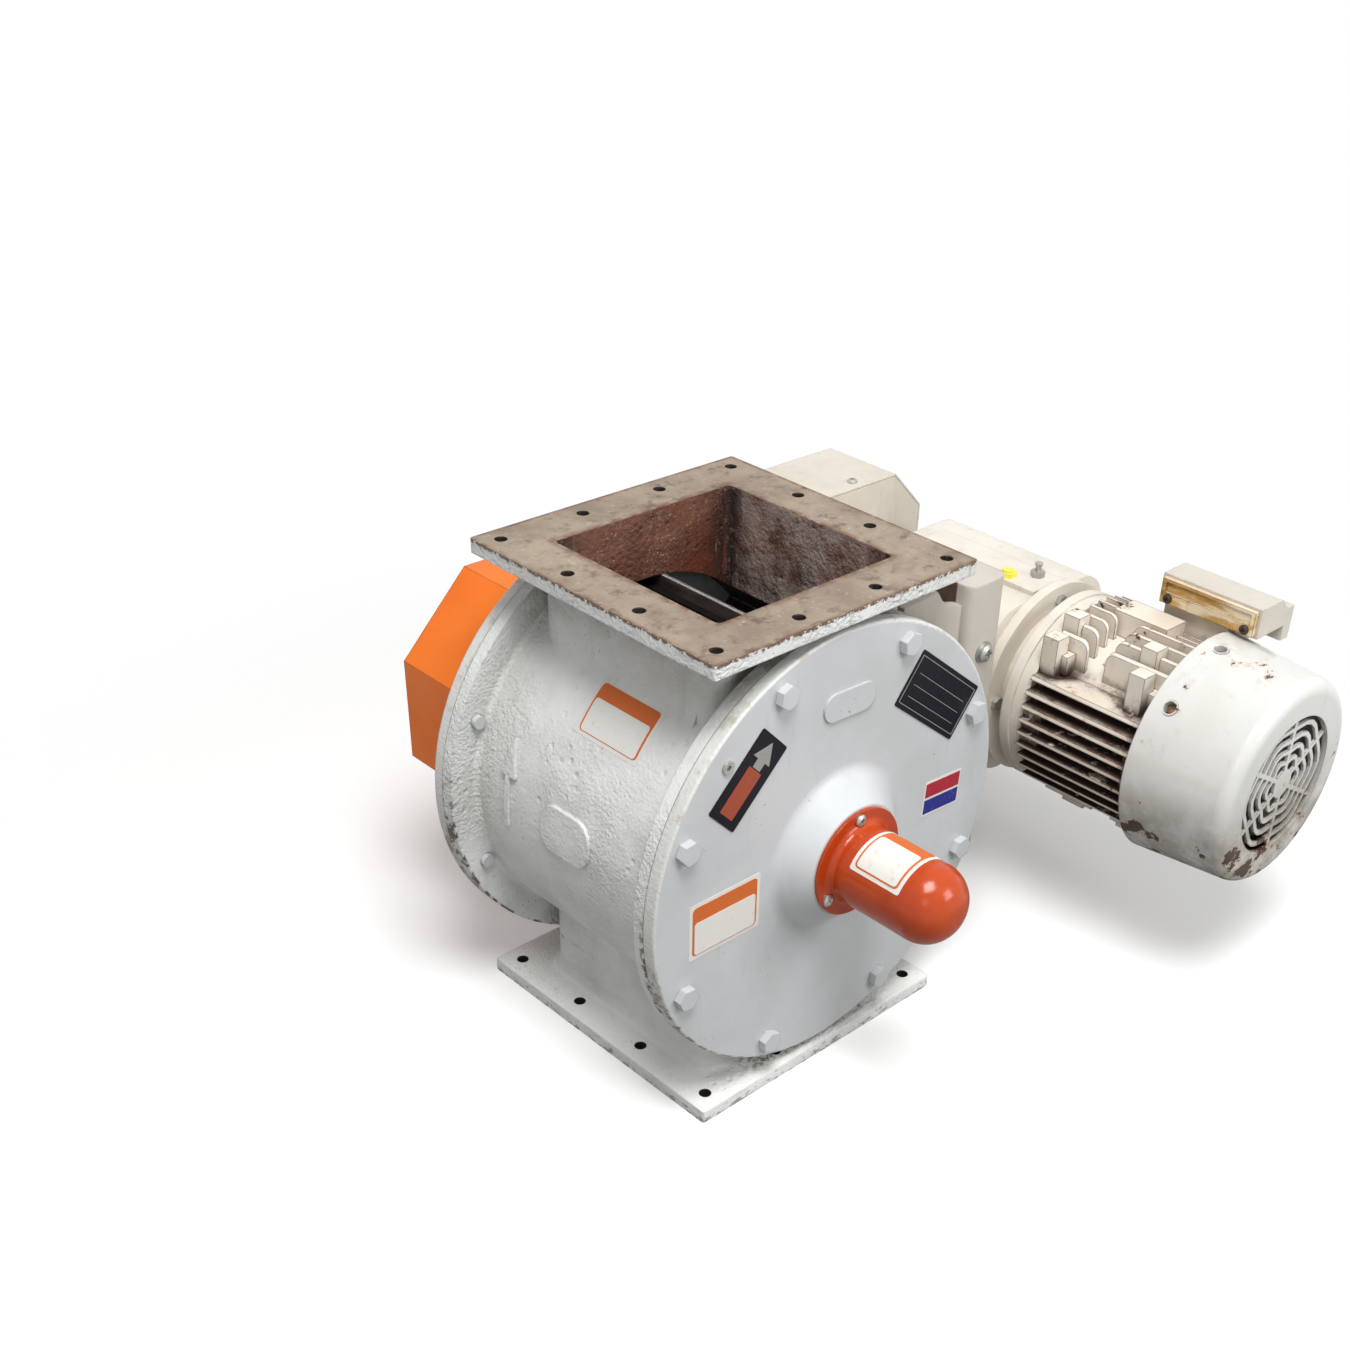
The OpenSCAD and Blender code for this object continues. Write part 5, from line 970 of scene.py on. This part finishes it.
def make_floor():
    """A pale floor that fades out into the white round it and keeps the part's shadow."""
    mesh = bmesh.new()
    turns = [math.tau * i / FLOOR_POINTS for i in range(FLOOR_POINTS)]
    rings = []
    for reach in FLOOR_RINGS:
        points = [(FLOOR_X + reach * math.cos(turn), reach * math.sin(turn), 0.0) for turn in turns]
        rings.append([mesh.verts.new(point) for point in points])
    mesh.faces.new(rings[0])
    for inner, outer in zip(rings, rings[1:]):
        for i in range(FLOOR_POINTS):
            j = (i + 1) % FLOOR_POINTS
            mesh.faces.new((inner[i], outer[i], outer[j], inner[j]))
    data = bpy.data.meshes.new("floor")
    mesh.to_mesh(data)
    mesh.free()
    data.materials.append(make_floor_finish())
    floor = bpy.data.objects.new("floor", data)
    bpy.context.collection.objects.link(floor)


def make_world():
    """Even grey light, and white where the camera, a mirror or glass sees past the floor."""
    world = bpy.data.worlds.new("Studio")
    bpy.context.scene.world = world
    world.use_nodes = True
    tree = world.node_tree
    rays = put(tree, "ShaderNodeLightPath").outputs
    seen = most(tree, rays["Is Camera Ray"], rays["Is Transmission Ray"], rays["Is Glossy Ray"])
    lit = put(tree, "ShaderNodeBackground", {"Color": WHITE, "Strength": WORLD_LEVEL}).outputs[0]
    white = put(tree, "ShaderNodeBackground", {"Color": WHITE, "Strength": 1.0}).outputs[0]
    shown = put(tree, "ShaderNodeMixShader", {0: seen, 1: lit, 2: white}).outputs[0]
    tree.links.new(shown, tree.nodes["World Output"].inputs["Surface"])


def make_lamp(name, place, aim, side, power):
    """A square lamp at a place, turned towards its aim."""
    data = bpy.data.lights.new(name, "AREA")
    data.shape = "SQUARE"
    data.size = side
    data.energy = power
    lamp = bpy.data.objects.new(name, data)
    lamp.location = place
    lamp.rotation_euler = (Vector(aim) - Vector(place)).to_track_quat("-Z", "Y").to_euler()
    bpy.context.collection.objects.link(lamp)


def make_camera():
    """The camera, in front of the valve's left corner and above it."""
    data = bpy.data.cameras.new("Camera")
    data.lens = 45.742
    data.sensor_width = 36.0
    data.shift_x = -0.0733
    data.shift_y = 0.1671
    camera = bpy.data.objects.new("Camera", data)
    right = (0.71245885, -0.7004342, 0.04235943)
    up = (0.3791155, 0.43501589, 0.81672065)
    back = (-0.5904861, -0.56582074, 0.57547638)
    turn = Matrix((right, up, back)).transposed()
    camera.matrix_world = Matrix.LocRotScale((-0.93939, -0.97956, 1.05063), turn.to_quaternion(), None)
    bpy.context.collection.objects.link(camera)
    bpy.context.scene.camera = camera


make_floor()
make_world()
make_lamp("Key", (-0.5, -0.9, 2.7), (0.1, 0.0, 0.2), 1.2, 70)
make_lamp("Front", (1.0, -2.4, 1.4), (0.1, 0.0, 0.25), 1.0, 24)
make_lamp("Left", (-2.0, -1.8, 1.7), (0.0, 0.0, 0.2), 0.8, 4)
make_camera()
bpy.context.scene.view_settings.view_transform = "Standard"
